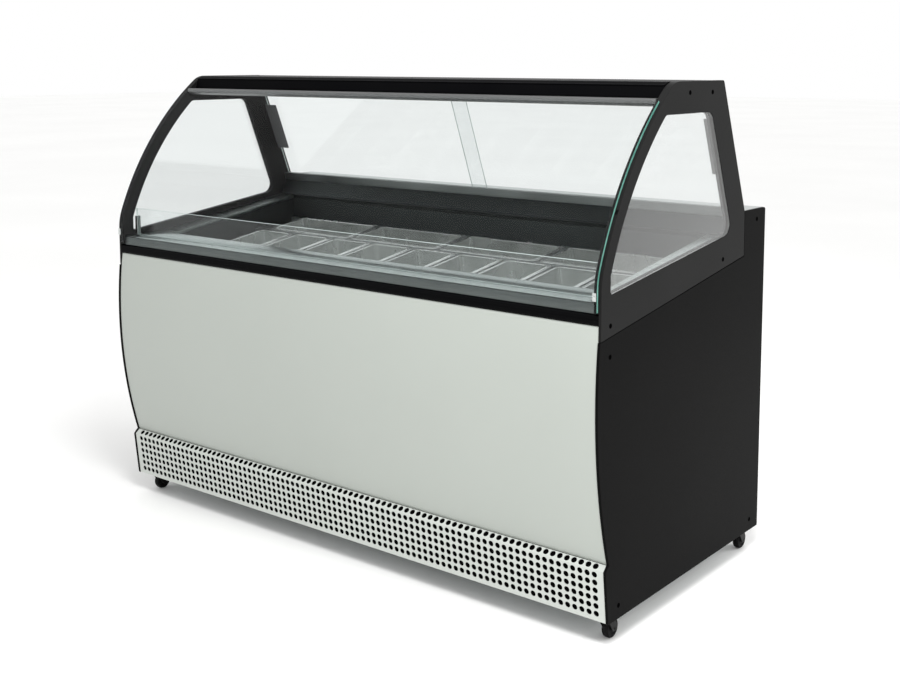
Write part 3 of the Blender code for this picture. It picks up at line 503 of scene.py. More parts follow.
for name in sorted(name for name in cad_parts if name.startswith(("pan_front_", "pan_rear_"))):
    low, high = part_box(name)
    across = high.x - low.x > 0.3
    half_x, half_y = (PAN_LENGTH / 2, PAN_WIDTH / 2) if across else (PAN_WIDTH / 2, PAN_LENGTH / 2)
    points, faces = pan_surface(half_x, half_y)
    tilt = np.array([(1, 0, 0), (0, cos(SLOPE), sin(SLOPE)), (0, -sin(SLOPE), cos(SLOPE))])
    middle = ((low.x + high.x) / 2, high.y - half_y * cos(SLOPE), high.z - half_y * sin(SLOPE))
    made = make(name.replace("pan_", "pressed_pan_"), (points @ tilt + middle, faces), pressed_pan_steel)
    fit(made, name, "pan_steel", name)

# ---------------------------------------------------------------- kick grille
# Punched sheet, 1.5 mm, powder coated light grey: six rows of eighty-five 15 mm holes at 20 mm on the
# face and one row on the flange that leans back under the front panel.

HOLE_PITCH, HOLE_R, HOLE_ROWS, HOLE_COLUMNS, HOLE_SIDES = 0.020, 0.0075, 6, 85, 16
KICK_SHEET, KICK_FOLD_R, FLANGE_CELL = 0.0015, 0.0020, 0.0160
KICK_TOP_Z, KICK_BACK_Y, KICK_LEAN = 0.193, -0.3722, 0.113
MARGIN_BELOW, MARGIN_ABOVE_FOLD = 0.0085, 0.0006


def powder_coat(name, dark, light, roughness, peel=0.0028, size=0.35, **values):
    """Powder-coated sheet steel: even pigment that drifts a little over the sheet, under the orange peel
    left as the powder melts, a millimetre or so across and drawn at 2.8 mm so that it shows."""
    material, tree, shader, place = blank_finish(name, **values)
    tree.links.new(between(tree, wandering(tree, place, size), dark, light), shader.inputs["Base Color"])
    orange_peel = wandering(tree, place, peel, detail=1.0)
    spread_roughness(tree, shader, orange_peel, roughness - 0.03, roughness + 0.04)
    raised(tree, shader, orange_peel, 0.00005, 0.25)
    return material


# the punched sheet is toned a shade paler than the panel above it
grille_coat = powder_coat("pale_grey_powder_coat", "b9bdb8", "bbbfba", 0.34, size=0.6)
front_grey_coat = powder_coat("light_grey_powder_coat", "a6aba5", "a8ada7", 0.34, size=0.6)


def filleted(path, radius, steps=6):
    """An open path of (y, z) points with its inner corners rounded by true arcs."""
    corners = [(*point, radius if 0 < k < len(path) - 1 else 0) for k, point in enumerate(path)]
    return rounded(corners, steps)


def along_path(path, reach):
    """Places and left-hand normals at distances along a path."""
    step = np.diff(path, axis=0)
    length = np.hypot(*step.T)
    gone = np.concatenate([[0], np.cumsum(length)])
    spots = np.column_stack([np.interp(reach, gone, path[:, k]) for k in (0, 1)])
    ways = step[np.clip(np.searchsorted(gone, reach, side="left") - 1, 0, len(step) - 1)]
    normal = np.column_stack([-ways[:, 1], ways[:, 0]]) / np.hypot(*ways.T)[:, None]
    return spots, normal


low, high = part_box("kick_grille")
kick_front_y = low.y


def kick_y(z):
    """Face of the kick sheet at a height: it leans back by a fixed share of the drop from its top fold."""
    return kick_front_y + KICK_LEAN * (KICK_TOP_Z - z)


kick_path = filleted([(kick_y(low.z), low.z), (low.y, KICK_TOP_Z), (KICK_BACK_Y, high.z)], KICK_FOLD_R)
steps = np.hypot(*np.diff(kick_path, axis=0).T)
fold_start, fold_end = steps[0], steps[:-1].sum()
cell_quarters = np.arange(0, HOLE_ROWS * 4 + 1) * HOLE_PITCH / 4 + MARGIN_BELOW
flange_start = fold_end + MARGIN_ABOVE_FOLD
reach = np.concatenate([[0], cell_quarters, np.linspace(fold_start, fold_end, 7),
                        flange_start + FLANGE_CELL * np.arange(5) / 4, [steps.sum()]])
cell_rows = [(1 + 4 * k, MARGIN_BELOW + (k + 0.5) * HOLE_PITCH) for k in range(HOLE_ROWS)]
cell_rows.append((len(reach) - 6, flange_start + FLANGE_CELL / 2))
left_end = -HOLE_COLUMNS * HOLE_PITCH / 2
xs = np.concatenate([[low.x], left_end + HOLE_PITCH / 4 * np.arange(HOLE_COLUMNS * 4 + 1), [high.x]])
lattice_x, lattice_s = [part.ravel() for part in np.meshgrid(xs, reach, indexing="ij")]
turn = 2 * pi * np.arange(HOLE_SIDES) / HOLE_SIDES
edge_i = np.array([4, 4, 4, 3, 2, 1, 0, 0, 0, 0, 0, 1, 2, 3, 4, 4])   # lattice points round one cell
edge_j = np.array([2, 3, 4, 4, 4, 4, 4, 3, 2, 1, 0, 0, 0, 0, 0, 1])
hole_x, hole_s, rims, filled = [], [], [], np.ones((len(xs) - 1, len(reach) - 1), bool)
for column in range(HOLE_COLUMNS):
    for first_row, middle_s in cell_rows:
        first = 1 + 4 * column
        hole_x.append(left_end + (column + 0.5) * HOLE_PITCH + HOLE_R * np.cos(turn))
        hole_s.append(middle_s + HOLE_R * np.sin(turn))
        rims.append((first + edge_i) * len(reach) + first_row + edge_j)
        filled[first:first + 4, first_row:first_row + 4] = False
sheet_x = np.concatenate([lattice_x, *hole_x])
sheet_s = np.concatenate([lattice_s, *hole_s])
spots, normals = along_path(kick_path, sheet_s)
outer_points = np.column_stack([sheet_x, spots])
inner_points = np.column_stack([sheet_x, spots - normals * KICK_SHEET])
rims = np.array(rims)
circles = len(lattice_x) + np.arange(len(rims) * HOLE_SIDES).reshape(len(rims), HOLE_SIDES)
plain = np.array(quads(len(xs), len(reach)))[filled.ravel()]
webs = np.stack([rims, np.roll(rims, -1, 1), np.roll(circles, -1, 1), circles], -1).reshape(-1, 4)
face_side = np.concatenate([plain, webs])
count = len(sheet_x)
walls = np.stack([circles, np.roll(circles, -1, 1), np.roll(circles, -1, 1) + count, circles + count],
                 -1).reshape(-1, 4)
rows, columns = len(xs), len(reach)
border = np.concatenate([np.arange(columns), np.arange(1, rows) * columns + columns - 1,
                         (rows - 1) * columns + np.arange(columns - 2, -1, -1),
                         np.arange(rows - 2, 0, -1) * columns])
edges = np.stack([border, np.roll(border, -1), np.roll(border, -1) + count, border + count], -1)
all_faces = np.concatenate([face_side, face_side[:, ::-1] + count, walls, edges])
used = np.unique(all_faces)
all_points = np.concatenate([outer_points, inner_points])[used]
made = make("punched_kick_grille", (all_points, np.searchsorted(used, all_faces).tolist()), grille_coat)
fit(made, "cabinet", "panel_paint", "kick_grille")

# A flat black sheet behind the holes, matt with no gloss at all: painted shade, so that the holes
# read as dark as the shade inside the machine.
SHADE_SHEET_GAP, SHADE_SHEET_THICK, SHADE_SHEET_END, SHADE_SHEET_DROP = 0.0035, 0.005, 0.010, 0.002
shade_sheet_finish = mottled("black_painted_shade_sheet", "040404", "080808", 0.002, Roughness=0.95, Specular_IOR_Level=0.0)
shade_sheet_face = [(kick_y(low.z), low.z + 0.006), (low.y, KICK_TOP_Z - 0.001), (KICK_BACK_Y, high.z - 0.0035)]
shade_sheet_outline = [(y + SHADE_SHEET_GAP, z) for y, z in shade_sheet_face]
shade_sheet_outline += [(y + SHADE_SHEET_GAP + SHADE_SHEET_THICK, z - SHADE_SHEET_DROP) for y, z in shade_sheet_face[::-1]]
made = make("shade_sheet_behind_grille", carried(shade_sheet_outline, low.x + SHADE_SHEET_END, high.x - SHADE_SHEET_END), shade_sheet_finish)
fit(made, "cabinet", "black_plastic")

# ---------------------------------------------------------------- bowed front panel and bumper rail
# One sheet rolled to a 1.35 m radius, its ends turned back behind the side panels; above it a gloss
# black extruded rail with a rounded nose.

BOW_R, BOW_MID_Z, BOW_CROWN_Y = 1.350, 0.600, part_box("front_panel")[0].y
PANEL_RETURN, PANEL_FOLD_R, PANEL_SHEET = 0.012, 0.0022, 0.0012


def bow_y(z, proud=0.0):
    """Face of the rolled panel at a height: a circle about (crown + radius, mid height)."""
    return BOW_CROWN_Y + BOW_R - np.sqrt((BOW_R + proud) ** 2 - (np.asarray(z) - BOW_MID_Z) ** 2)


low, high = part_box("front_panel")
quarter = np.linspace(0, pi / 2, 6)
end_x = high.x - PANEL_FOLD_R + PANEL_FOLD_R * np.sin(quarter)
end_depth = PANEL_FOLD_R * (1 - np.cos(quarter))
between_x = np.linspace(-end_x[0], end_x[0], 26)[1:-1]
across_x = np.concatenate([[-high.x], -end_x[::-1], between_x, end_x, [high.x]])
inward = np.concatenate([[PANEL_RETURN], end_depth[::-1], 0 * between_x, end_depth, [PANEL_RETURN]])
heights = low.z + (high.z - low.z) * np.linspace(0, 1, 80)
angle = np.arcsin((heights - BOW_MID_Z) / BOW_R)[None]
radius = BOW_R - inward[:, None]
panel_points = np.stack(np.broadcast_arrays(across_x[:, None], BOW_CROWN_Y + BOW_R - radius * np.cos(angle),
                                            BOW_MID_Z + radius * np.sin(angle)), -1).reshape(-1, 3)
made = make("rolled_front_panel", (panel_points, quads(len(across_x), len(heights))), front_grey_coat)
if sum(face.normal.y * face.area for face in made.data.polygons) > 0:
    made.data.flip_normals()
thicken(made, PANEL_SHEET)
fit(made, "cabinet", "panel_paint", "front_panel")


def extruded(name, dark, light, smooth, rough, lines=(0.5, 0.0015, 0.0015), **values):
    """An extruded profile with the faint lines that its die draws along it, half a metre long and 1.5 mm
    apart, in its tone and in its gloss."""
    material, tree, shader, place = blank_finish(name, **values)
    draw_lines = wandering(tree, place, 1.0, lines, 1.0)
    tree.links.new(between(tree, draw_lines, dark, light), shader.inputs["Base Color"])
    spread_roughness(tree, shader, draw_lines, smooth, rough)
    return material


# gloss black anodising: deep, and smooth enough for a clear highlight
gloss_extrusion = extruded("gloss_black_extrusion", "050506", "080809", 0.14, 0.22, (0.6, 0.0016, 0.0016),
                           Specular_IOR_Level=0.03)
low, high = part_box("front_rail")
nose = bar_view(low.yz, high.yz, (0.0045, 0.0008, 0.0008, 0.0075), 8)
made = make("bumper_rail", carried(nose, low.x, high.x), gloss_extrusion)
fit(made, "cabinet", "gloss_black", "front_rail")

# ---------------------------------------------------------------- side panels
# Flat plates cut to the side view, satin black, their edges a little proud of the sheets they close.

side_black_coat = powder_coat("satin_black_powder_coat", "0b0b0b", "0d0d0d", 0.42, Specular_IOR_Level=0.02)
SEAM_FRONT_Z, SEAM_FRONT_Y, SEAM_GAP, SIDE_PROUD, BOW_LOW_Z = 0.742, -0.4205, 0.0015, 0.002, 0.207


def seam_z(y):
    """Seam between the side panels and the end frames, parallel to the deck's slope."""
    return SEAM_FRONT_Z + tan(SLOPE) * (y - SEAM_FRONT_Y)


for side in ("left", "right"):
    low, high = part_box(f"side_panel_{side}")
    top_z = seam_z(low.y + 0.01) - SEAM_GAP / 2
    corners = [(kick_y(z) - SIDE_PROUD, z, 0.002) for z in (low.z, KICK_TOP_Z)]
    corners += [(float(bow_y(z, SIDE_PROUD)), z, 0) for z in np.linspace(BOW_LOW_Z, top_z, 60)]
    step_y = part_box(f"end_frame_{side}")[1].y + SEAM_GAP / 2
    corners += [(step_y, seam_z(step_y) - SEAM_GAP / 2, 0.001), (step_y, high.z, 0.002),
                (high.y, high.z, 0.008), (high.y, low.z, 0.003)]
    made = make(f"side_plate_{side}", carried(rounded(corners), low.x, high.x), side_black_coat, 0.0008)
    fit(made, "cabinet", "side_paint", f"side_panel_{side}")

# ---------------------------------------------------------------- rear panel, worktop and splash
# The server's side: a flat black sheet with pressed louvres where the machine breathes, and above it a
# folded stainless worktop.

low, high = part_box("rear_panel")
# the rear sheet has more sheen than the sides, so that its louvres show
rear_black_coat = powder_coat("satin_black_rear_coat", "161617", "1a1a1b", 0.38, Specular_IOR_Level=0.30)
refinish(rear_black_coat, "rear_panel")
LOUVRE_LENGTH, LOUVRE_RISE, LOUVRE_PROUD, LOUVRE_PITCH, LOUVRES = 0.150, 0.010, 0.0042, 0.020, 9
LOUVRE_XS, LOUVRE_FIRST_Z, BEDDED, SPAN_POINTS, RISE_POINTS = (0.12, 0.31, 0.50), 0.150, 0.0001, 25, 9
swell = np.linspace(0, 1, RISE_POINTS)
span = np.linspace(-1, 1, SPAN_POINTS)
hood_y = LOUVRE_PROUD * np.sqrt(np.clip(1 - np.abs(span[:, None]) ** 6, 0, 1)) * np.sin(pi / 2 * swell)[None]
hood_x = np.broadcast_to(span[:, None] * LOUVRE_LENGTH / 2, hood_y.shape)
hood_z = np.broadcast_to((1 - swell)[None] * LOUVRE_RISE, hood_y.shape)
hood = np.stack([hood_x, hood_y, hood_z], -1).reshape(-1, 3)
back = hood * (1, 0, 1)
grid = np.arange(len(hood)).reshape(SPAN_POINTS, RISE_POINTS)
rim = np.concatenate([grid[0], grid[1:, -1], grid[-1, -2::-1], grid[-2:0:-1, 0]])   # round the hood's edge
skirt = [(rim[k], rim[k - 1], rim[k - 1] + len(hood), rim[k] + len(hood)) for k in range(len(rim))]
hood_faces = quads(SPAN_POINTS, RISE_POINTS)
louvre_faces = hood_faces + [tuple(len(hood) + i for i in face[::-1]) for face in hood_faces] + skirt
louvre = np.concatenate([hood, back - (0, BEDDED, 0)])
louvres = [(louvre + (x, high.y + BEDDED, LOUVRE_FIRST_Z + k * LOUVRE_PITCH), louvre_faces)
           for x in LOUVRE_XS for k in range(LOUVRES)]
made = make("rear_louvres", together(*louvres), rear_black_coat)
fit(made, "cabinet", "side_paint")


def folded(path, thickness, radius):
    """The outline of a sheet along a path with rounded folds: the path, and back along the same path moved
    to its left by the thickness."""
    line = filleted(path, radius)
    way = np.gradient(line, axis=0)
    normal = np.column_stack([-way[:, 1], way[:, 0]]) / np.hypot(*way.T)[:, None]
    return np.concatenate([line, (line + normal * thickness)[::-1]])


worktop_steel = brushed("brushed_worktop_steel", "b4b9b8", "c6cbc9", 0.26, 0.36)
low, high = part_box("rear_shelf")
worktop = folded([(high.y, low.z + 0.005), (high.y, high.z), (low.y, high.z), (low.y, low.z)], 0.0015, 0.003)
made = make("folded_worktop", carried(worktop, low.x, high.x), worktop_steel)
fit(made, "cabinet", "stainless", "rear_shelf")

# ---------------------------------------------------------------- end frames and side glass
# Each end of the hood is a 20 mm moulded frame, thinned behind the side panel below the deck, with a
# glazed window whose front follows the hood's arc.

HALF, FRAME_INNER, SIDE_INNER = cad_box[1].x, 0.8525, 0.8655
ARC_Y, ARC_Z, ARC_R = 0.4404, 0.5838, 0.913
UPRIGHT_Y, FOOT_R, BROW_R = -0.4225, 0.150, 0.070
REAR_TOP_Y, REAR_FOOT_Y, REAR_FOOT_Z = 0.1625, 0.3015, 0.9715
THINNED_BELOW_Z, THINNED_TO_Y, FIT_GAP = 0.8065, 0.0112, 0.0005
WINDOW_ARC_IN, WINDOW_FOOT_IN, WINDOW_REAR_IN = 0.036, 0.040, 0.0888
WINDOW_SILL_Z, WINDOW_REAR_Z, WINDOW_HEAD_Z = 0.8445, 0.921, 1.243
frame_black_coat = powder_coat("dark_grey_powder_coat", "1b1b1b", "1e1e1e", 0.40, Specular_IOR_Level=0.04)
# the outer rim of each frame is toned smoother and darker than its face
edge_black = powder_coat("black_frame_edge", "050505", "080808", 0.25, Specular_IOR_Level=0.06)


def arc(centre_y, centre_z, radius, start, end, steps):
    """Points at angles measured up from -Y: (y - r cos a, z + r sin a)."""
    angle = np.linspace(start, end, steps + 1)
    return np.column_stack([centre_y - radius * np.cos(angle), centre_z + radius * np.sin(angle)])


def hood_front(offset, foot_z, top_angle=None):
    """Front edge of the hood moved out by an offset: upright, eased by a 150 mm arc into the large arc,
    and with no top angle on round the brow into the flat top."""
    foot_y = UPRIGHT_Y + FOOT_R
    foot_centre_z = ARC_Z + sqrt((ARC_R - FOOT_R) ** 2 - (ARC_Y - foot_y) ** 2)
    foot_angle = asin((foot_centre_z - ARC_Z) / (ARC_R - FOOT_R))
    brow_z = cad_box[1].z - BROW_R
    brow_angle = asin((brow_z - ARC_Z) / (ARC_R - BROW_R))
    parts = [[(UPRIGHT_Y - offset, foot_z)], arc(foot_y, foot_centre_z, FOOT_R + offset, 0, foot_angle, 10),
             arc(ARC_Y, ARC_Z, ARC_R + offset, foot_angle, top_angle or brow_angle, 56)[1:]]
    if top_angle is None:
        brow_y = ARC_Y - (ARC_R - BROW_R) * cos(brow_angle)
        parts.append(arc(brow_y, brow_z, BROW_R + offset, brow_angle, pi / 2, 12)[1:])
    return np.concatenate(parts)


def lean_y(z, lane=0.0):
    """Rear edge of the end frames at a height, or a plane beside it."""
    run = (REAR_FOOT_Y - REAR_TOP_Y) / (cad_box[1].z - REAR_FOOT_Z)
    return REAR_FOOT_Y - run * (z - REAR_FOOT_Z) + lane * sqrt(1 + run * run)


def window(inset):
    """Outline of the window: sill, front that follows the arc 36 mm inside it, head and leaning rear."""
    arc_r, rear_lane = ARC_R - WINDOW_ARC_IN - inset, -WINDOW_REAR_IN - inset
    front_y = UPRIGHT_Y + WINDOW_FOOT_IN + inset
    head_z, sill_z, rear_z = WINDOW_HEAD_Z - inset, WINDOW_SILL_Z + inset, WINDOW_REAR_Z + inset
    meeting = asin((head_z - ARC_Z) / arc_r)
    low_angle = acos((ARC_Y - front_y) / arc_r)
    corners = [(front_y, sill_z, 0.008)]
    corners += [(y, z, 0) for y, z in arc(ARC_Y, ARC_Z, arc_r, low_angle, meeting - radians(1.6), 40)]
    corners += [(ARC_Y - arc_r * cos(meeting), head_z, 0.024), (lean_y(head_z, rear_lane), head_z, 0.030),
                (lean_y(rear_z, rear_lane), rear_z, 0.030)]
    return rounded(corners, 10)


def bearing(loop, centre):
    """Angle of each point of a loop seen from a centre."""
    return np.arctan2(*(loop - centre).T[::-1])


def crossed(loop, centre, angles):
    """Points where rays from a centre cross a loop round it: p + t (q - p) on the edge that each ray
    meets, with t from the cross products of the ray with p and with the edge."""
    order = np.argsort(bearing(loop, centre))
    rim = (loop - centre)[order]
    after = np.searchsorted(bearing(loop, centre)[order], angles, side="right")
    p, q = rim[after - 1], rim[after % len(rim)]
    ray = np.column_stack([np.cos(angles), np.sin(angles)])
    edge = q - p
    share = -(ray[:, 0] * p[:, 1] - ray[:, 1] * p[:, 0]) / (ray[:, 0] * edge[:, 1] - ray[:, 1] * edge[:, 0])
    return centre + p + share[:, None] * edge


def clear_glass(name, tint, mirrored=1.0):
    """Clear tempered glass as a pane: light goes straight through with a faint tint, and a share of it is
    mirrored by Schlick's rule, 0.04 + 0.96 (1 - cos) ** 5, at each of the pane's two faces.  A coating
    cuts that share."""
    material = bpy.data.materials.new(name)
    material.use_nodes = True
    tree = material.node_tree
    tree.nodes.remove(tree.nodes["Principled BSDF"])
    facing = add(tree, "ShaderNodeLayerWeight", {"Blend": 0.5}).outputs["Facing"]
    steep = add(tree, "ShaderNodeMath", {1: 5.0}, {0: facing}, operation="POWER")
    share = add(tree, "ShaderNodeMath", {1: 0.96 * mirrored, 2: 0.04 * mirrored}, {0: steep.outputs[0]},
                operation="MULTIPLY_ADD", use_clamp=True)
    clear = add(tree, "ShaderNodeBsdfTransparent", {"Color": linear(tint)})
    mirror = add(tree, "ShaderNodeBsdfAnisotropic", {"Color": linear("ffffff"), "Roughness": 0.02})
    mixed = add(tree, "ShaderNodeMixShader", None,
                {0: share.outputs[0], 1: clear.outputs[0], 2: mirror.outputs[0]})
    tree.links.new(mixed.outputs[0], tree.nodes["Material Output"].inputs["Surface"])
    return material


# single side panes; their mirror share is set above that of plain glass
side_glass = clear_glass("side_tempered_glass", "fbfcfc", 1.8)
window_middle = np.array([-0.05, 1.03])
outline = np.concatenate([hood_front(0.0, float(seam_z(UPRIGHT_Y)) + SEAM_GAP / 2), rounded([
    (REAR_TOP_Y - 0.05, cad_box[1].z, 0), (REAR_TOP_Y, cad_box[1].z, 0.008),
    (REAR_FOOT_Y + 0.0007, REAR_FOOT_Z, 0),
    (REAR_FOOT_Y + 0.0015, float(seam_z(REAR_FOOT_Y)) + SEAM_GAP, 0)])])
opening = window(0.0)
step_crossings = np.array([(UPRIGHT_Y, THINNED_BELOW_Z), (THINNED_TO_Y, THINNED_BELOW_Z)])
OUTER_RIM = 5                                     # the last band of the ring below: side inner to outer face
angles = np.unique(np.round(np.concatenate([bearing(loop, window_middle)
                                            for loop in (outline, opening, step_crossings)]), 7))
outside, inside = crossed(outline, window_middle, angles), crossed(opening, window_middle, angles)
drop = outside - window_middle
shorten = np.where(outside[:, 1] < THINNED_BELOW_Z, (THINNED_BELOW_Z - window_middle[1]) / drop[:, 1], 1.0)
stepped = window_middle + drop * shorten[:, None]
for side, sign in (("left", -1), ("right", 1)):
    rows = [(outside, HALF), (inside, HALF), (inside, FRAME_INNER), (stepped, FRAME_INNER),
            (stepped, SIDE_INNER), (outside, SIDE_INNER)]
    points = np.concatenate([np.column_stack([np.full(len(loop), sign * x), loop]) for loop, x in rows])
    ring_faces = quads(len(rows), len(angles), wrap_rows=True, wrap_columns=True)
    made = make(f"hood_frame_{side}", (points, ring_faces), [frame_black_coat, edge_black], 0.0011, 3)
    for index, face in enumerate(made.data.polygons):
        face.material_index = index // len(angles) == OUTER_RIM
    fit(made, "cabinet", "frame_paint", f"end_frame_{side}")
    low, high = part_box(f"side_glass_{side}")
    made = make(f"side_window_{side}", carried(window(FIT_GAP), low.x, high.x), side_glass, 0.0004)
    fit(made, "cabinet", "clear_glass", f"side_glass_{side}")

# ---------------------------------------------------------------- canopy and lamp
# A gloss black extrusion closes the hood's top, with a bead along its brow; under it a satin grey lamp
# housing with a milky acrylic strip.

low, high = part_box("canopy")
REAR_CLEAR, BEAD_Z = -0.001, 1.3130
canopy_outline = rounded([
    (lean_y(low.z, REAR_CLEAR), low.z, 0.002), (low.y, low.z, 0.002), (-0.1140, BEAD_Z - 0.0020, 0.0008),
    (-0.1165, BEAD_Z - 0.0012, 0.0008), (-0.1155, BEAD_Z + 0.0012, 0.0008), (-0.1100, BEAD_Z + 0.0016, 0.001),
    (-0.0980, high.z, 0.018), (lean_y(high.z, REAR_CLEAR), high.z, 0.006)])
# deep black, its specular level set low so that the hood's top reads as one dark band
canopy_black = powder_coat("canopy_black_coat", "08080a", "0c0c0d", 0.35, Specular_IOR_Level=0.01)
made = make("hood_canopy", carried(canopy_outline, low.x, high.x), canopy_black)
fit(made, "cabinet", "gloss_black", "canopy")

# satin silver-grey anodising: metallic, with faint lines along the extrusion
lamp_anodised = extruded("satin_grey_anodised_lamp_housing", "6a6b6b", "747575", 0.34, 0.46, Metallic=0.7)
low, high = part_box("lamp_housing")
housing = rounded([(low.y, high.z - 0.0125, 0.003), (low.y, high.z, 0.004), (high.y, high.z, 0.0008),
                   (high.y, low.z, 0.0008), (-0.1300, low.z, 0.003)])
made = make("lamp_extrusion", carried(housing, low.x, high.x), lamp_anodised)
fit(made, "cabinet", "lamp_housing", "lamp_housing")

milky_acrylic = mottled("milky_acrylic_strip", "efefec", "f6f6f4", 0.02, Roughness=0.35,
                        Subsurface_Weight=0.2)
STRIP_END, STRIP_LOW, STRIP_BEDDED = 0.02, 0.0022, 0.0002
strip = rounded([(-0.078, low.z - STRIP_LOW, 0.002), (-0.062, low.z - STRIP_LOW, 0.002),
                 (-0.060, low.z - STRIP_BEDDED, 0.0003), (-0.080, low.z - STRIP_BEDDED, 0.0003)])
made = make("lamp_strip", carried(strip, low.x + STRIP_END, high.x - STRIP_END), milky_acrylic)
fit(made, "cabinet", "lamp_housing")

# ---------------------------------------------------------------- front glass
# One pane, 6 mm, bent to the hood's arc, that tips forward on its lower edge; a clip holds each foot.

GLASS, GLASS_END, GLASS_TOP_ANGLE = 0.006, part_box("front_glass")[1].x, radians(49.0)
RIGHT_END = 1                                     # the band of the pane's section at its right end
# its mirror share is set far below that of plain glass, as an assumed coating would leave it
coated_glass = clear_glass("coated_tempered_glass", "fbfcfc", 0.12)
# a polished edge gathers the green of the iron in the glass
glass_edge = mottled("polished_glass_edge", "528f82", "74aa9d", 0.04, Roughness=0.12, Coat_Weight=0.5)
foot_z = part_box("front_glass")[0].z
outer_arc = hood_front(FIT_GAP + GLASS, foot_z, GLASS_TOP_ANGLE)
inner_arc = hood_front(FIT_GAP, foot_z, GLASS_TOP_ANGLE)
count = len(outer_arc)
rows = [(outer_arc, -GLASS_END), (outer_arc, GLASS_END), (inner_arc, GLASS_END), (inner_arc, -GLASS_END)]
points = np.concatenate([np.column_stack([np.full(count, x), line]) for line, x in rows])
ends = [(0, count, 2 * count, 3 * count), tuple(count * k - 1 for k in (1, 2, 3, 4))]
pane = points, quads(4, count, wrap_rows=True) + ends
made = make("bent_front_pane", pane, [coated_glass, glass_edge], 0.0005)
for index, face in enumerate(made.data.polygons):
    face.material_index = index // (count - 1) == RIGHT_END
fit(made, "front_glass", "clear_glass", "front_glass")

bright_clip = brushed("bright_stainless_clip", "c9cdcc", "dadedc", 0.18, 0.26)
for side in ("left", "right"):
    low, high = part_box(f"glass_clip_{side}")
    plate = bar_view(low.yz, high.yz, [0] * 4)
    middle = ((low.x + high.x) / 2, low.y, (low.z + high.z) / 2)
    button = turned([(0, 0.0004), (0.0030, 0.0004), (0.0030, -0.0006), (0.0018, -0.0011), (0, -0.0012)],
                    24, middle, "Y")
    made = make(f"pane_clip_{side}", together(carried(plate, low.x, high.x), button), bright_clip, 0.0007, 3)
    fit(made, "front_glass", "stainless", f"glass_clip_{side}")

# ---------------------------------------------------------------- cold air deflector
# A low pane stands on the deck behind the front glass, held in a slotted bracket at each end.

pane_glass = clear_glass("clear_tempered_glass", "fcfdfd", 0.7)
# a ground edge scatters more than a polished one and shows little green
ground_edge = mottled("ground_glass_edge", "b4bfbc", "c3cdca", 0.04, Roughness=0.45)


def glaze(made, is_face):
    """Glass on the faces that a rule on their normals picks, ground edge on the others."""
    for face in made.data.polygons:
        face.material_index = not is_face(face.normal)


low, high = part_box("deflector_glass")
pane = bar_view(low.yz, high.yz, (0.0005, 0.0005, 0.0018, 0.0018), 3)
made = make("deflector_pane", carried(pane, low.x, high.x), [pane_glass, ground_edge])
glaze(made, lambda normal: abs(normal.y) > 0.9)
fit(made, "cabinet", "clear_glass", "deflector_glass")
BRACKET_Z, BRACKET_HALF, BRACKET_GRIP = (DECK_FLAT_Z + 0.0005, 0.890), 0.0065, 0.008
middle_y, slot_half = (low.y + high.y) / 2, (high.y - low.y) / 2 + 0.0004
for side, sign in (("left", -1), ("right", 1)):
    wall_x, pane_x, grip_x = FRAME_INNER - 0.0003, high.x + 0.0004, high.x - BRACKET_GRIP
    plan = [(wall_x, -BRACKET_HALF), (grip_x, -BRACKET_HALF), (grip_x, -slot_half), (pane_x, -slot_half),
            (pane_x, slot_half), (grip_x, slot_half), (grip_x, BRACKET_HALF), (wall_x, BRACKET_HALF)]
    points, faces = carried([(sign * x, middle_y + y) for x, y in plan], *BRACKET_Z)
    made = make(f"deflector_bracket_{side}", (points[:, [1, 2, 0]], faces), bright_clip, 0.0006)
    fit(made, "cabinet", "stainless")

# ---------------------------------------------------------------- sliding doors and tracks
# Two 4 mm panes slide past each other in two-groove aluminium tracks, each with a moulded grip over its
# outer end.

track_anodised = extruded("natural_anodised_track", "a9adad", "b9bdbd", 0.30, 0.42, Metallic=1.0)
refinish(track_anodised, "lower_door_track", "upper_door_track")

# mid grey moulded plastic, its tone drifting a little
grip_grey = mottled("grey_moulded_grip", "6c6c6d", "727273", 0.004, Roughness=0.5)
DOOR_GLASS, GRIP_WIDTH, GRIP_THICK, GRIP_SOCKET = 0.004, 0.046, 0.007, 0.034
for side, lane, sign in (("left", -0.022, -1), ("right", -0.010, 1)):
    low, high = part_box(f"sliding_door_{side}")
    half = DOOR_GLASS / 2
    strip = [(lean_y(z, lane + way * half), z)
             for z, way in ((low.z, -1), (low.z, 1), (high.z, 1), (high.z, -1))]
    made = make(f"door_pane_{side}", carried(strip, low.x, high.x), [pane_glass, ground_edge], 0.0005)
    glaze(made, lambda normal: abs(normal.x) < 0.5 and abs(normal.y) > 0.7)
    fit(made, f"door_{side}", "clear_glass", f"sliding_door_{side}")
    pane_end = high.x if sign > 0 else low.x
    grip_low, grip_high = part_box(f"door_grip_{side}")
    outside_x, inside_x = pane_end + sign * (GRIP_WIDTH - GRIP_SOCKET), pane_end - sign * GRIP_SOCKET
    floor_x, slot = pane_end + sign * FIT_GAP, half * 1.08 + FIT_GAP
    half_channel = [(outside_x, GRIP_THICK / 2), (inside_x, GRIP_THICK / 2), (inside_x, slot),
                    (floor_x, slot)]
    channel = np.array([(x, -y) for x, y in half_channel] + half_channel[::-1])
    rows = [np.column_stack([channel[:, 0], channel[:, 1] + lean_y(z, lane), np.full(8, z)])
            for z in (grip_low.z, grip_high.z)]
    faces = quads(2, 8, wrap_columns=True) + [tuple(range(8)), tuple(range(8, 16))]
    made = make(f"door_pull_{side}", (np.concatenate(rows), faces), grip_grey, 0.0011, 3)
    fit(made, f"door_{side}", "grip", f"door_grip_{side}")

# ---------------------------------------------------------------- controls and gland
# On the rear panel: a moulded plate with a dark display window and three blank keys, a rocker for the
# lamp in its hole, and low on the other side the gland of the mains lead.

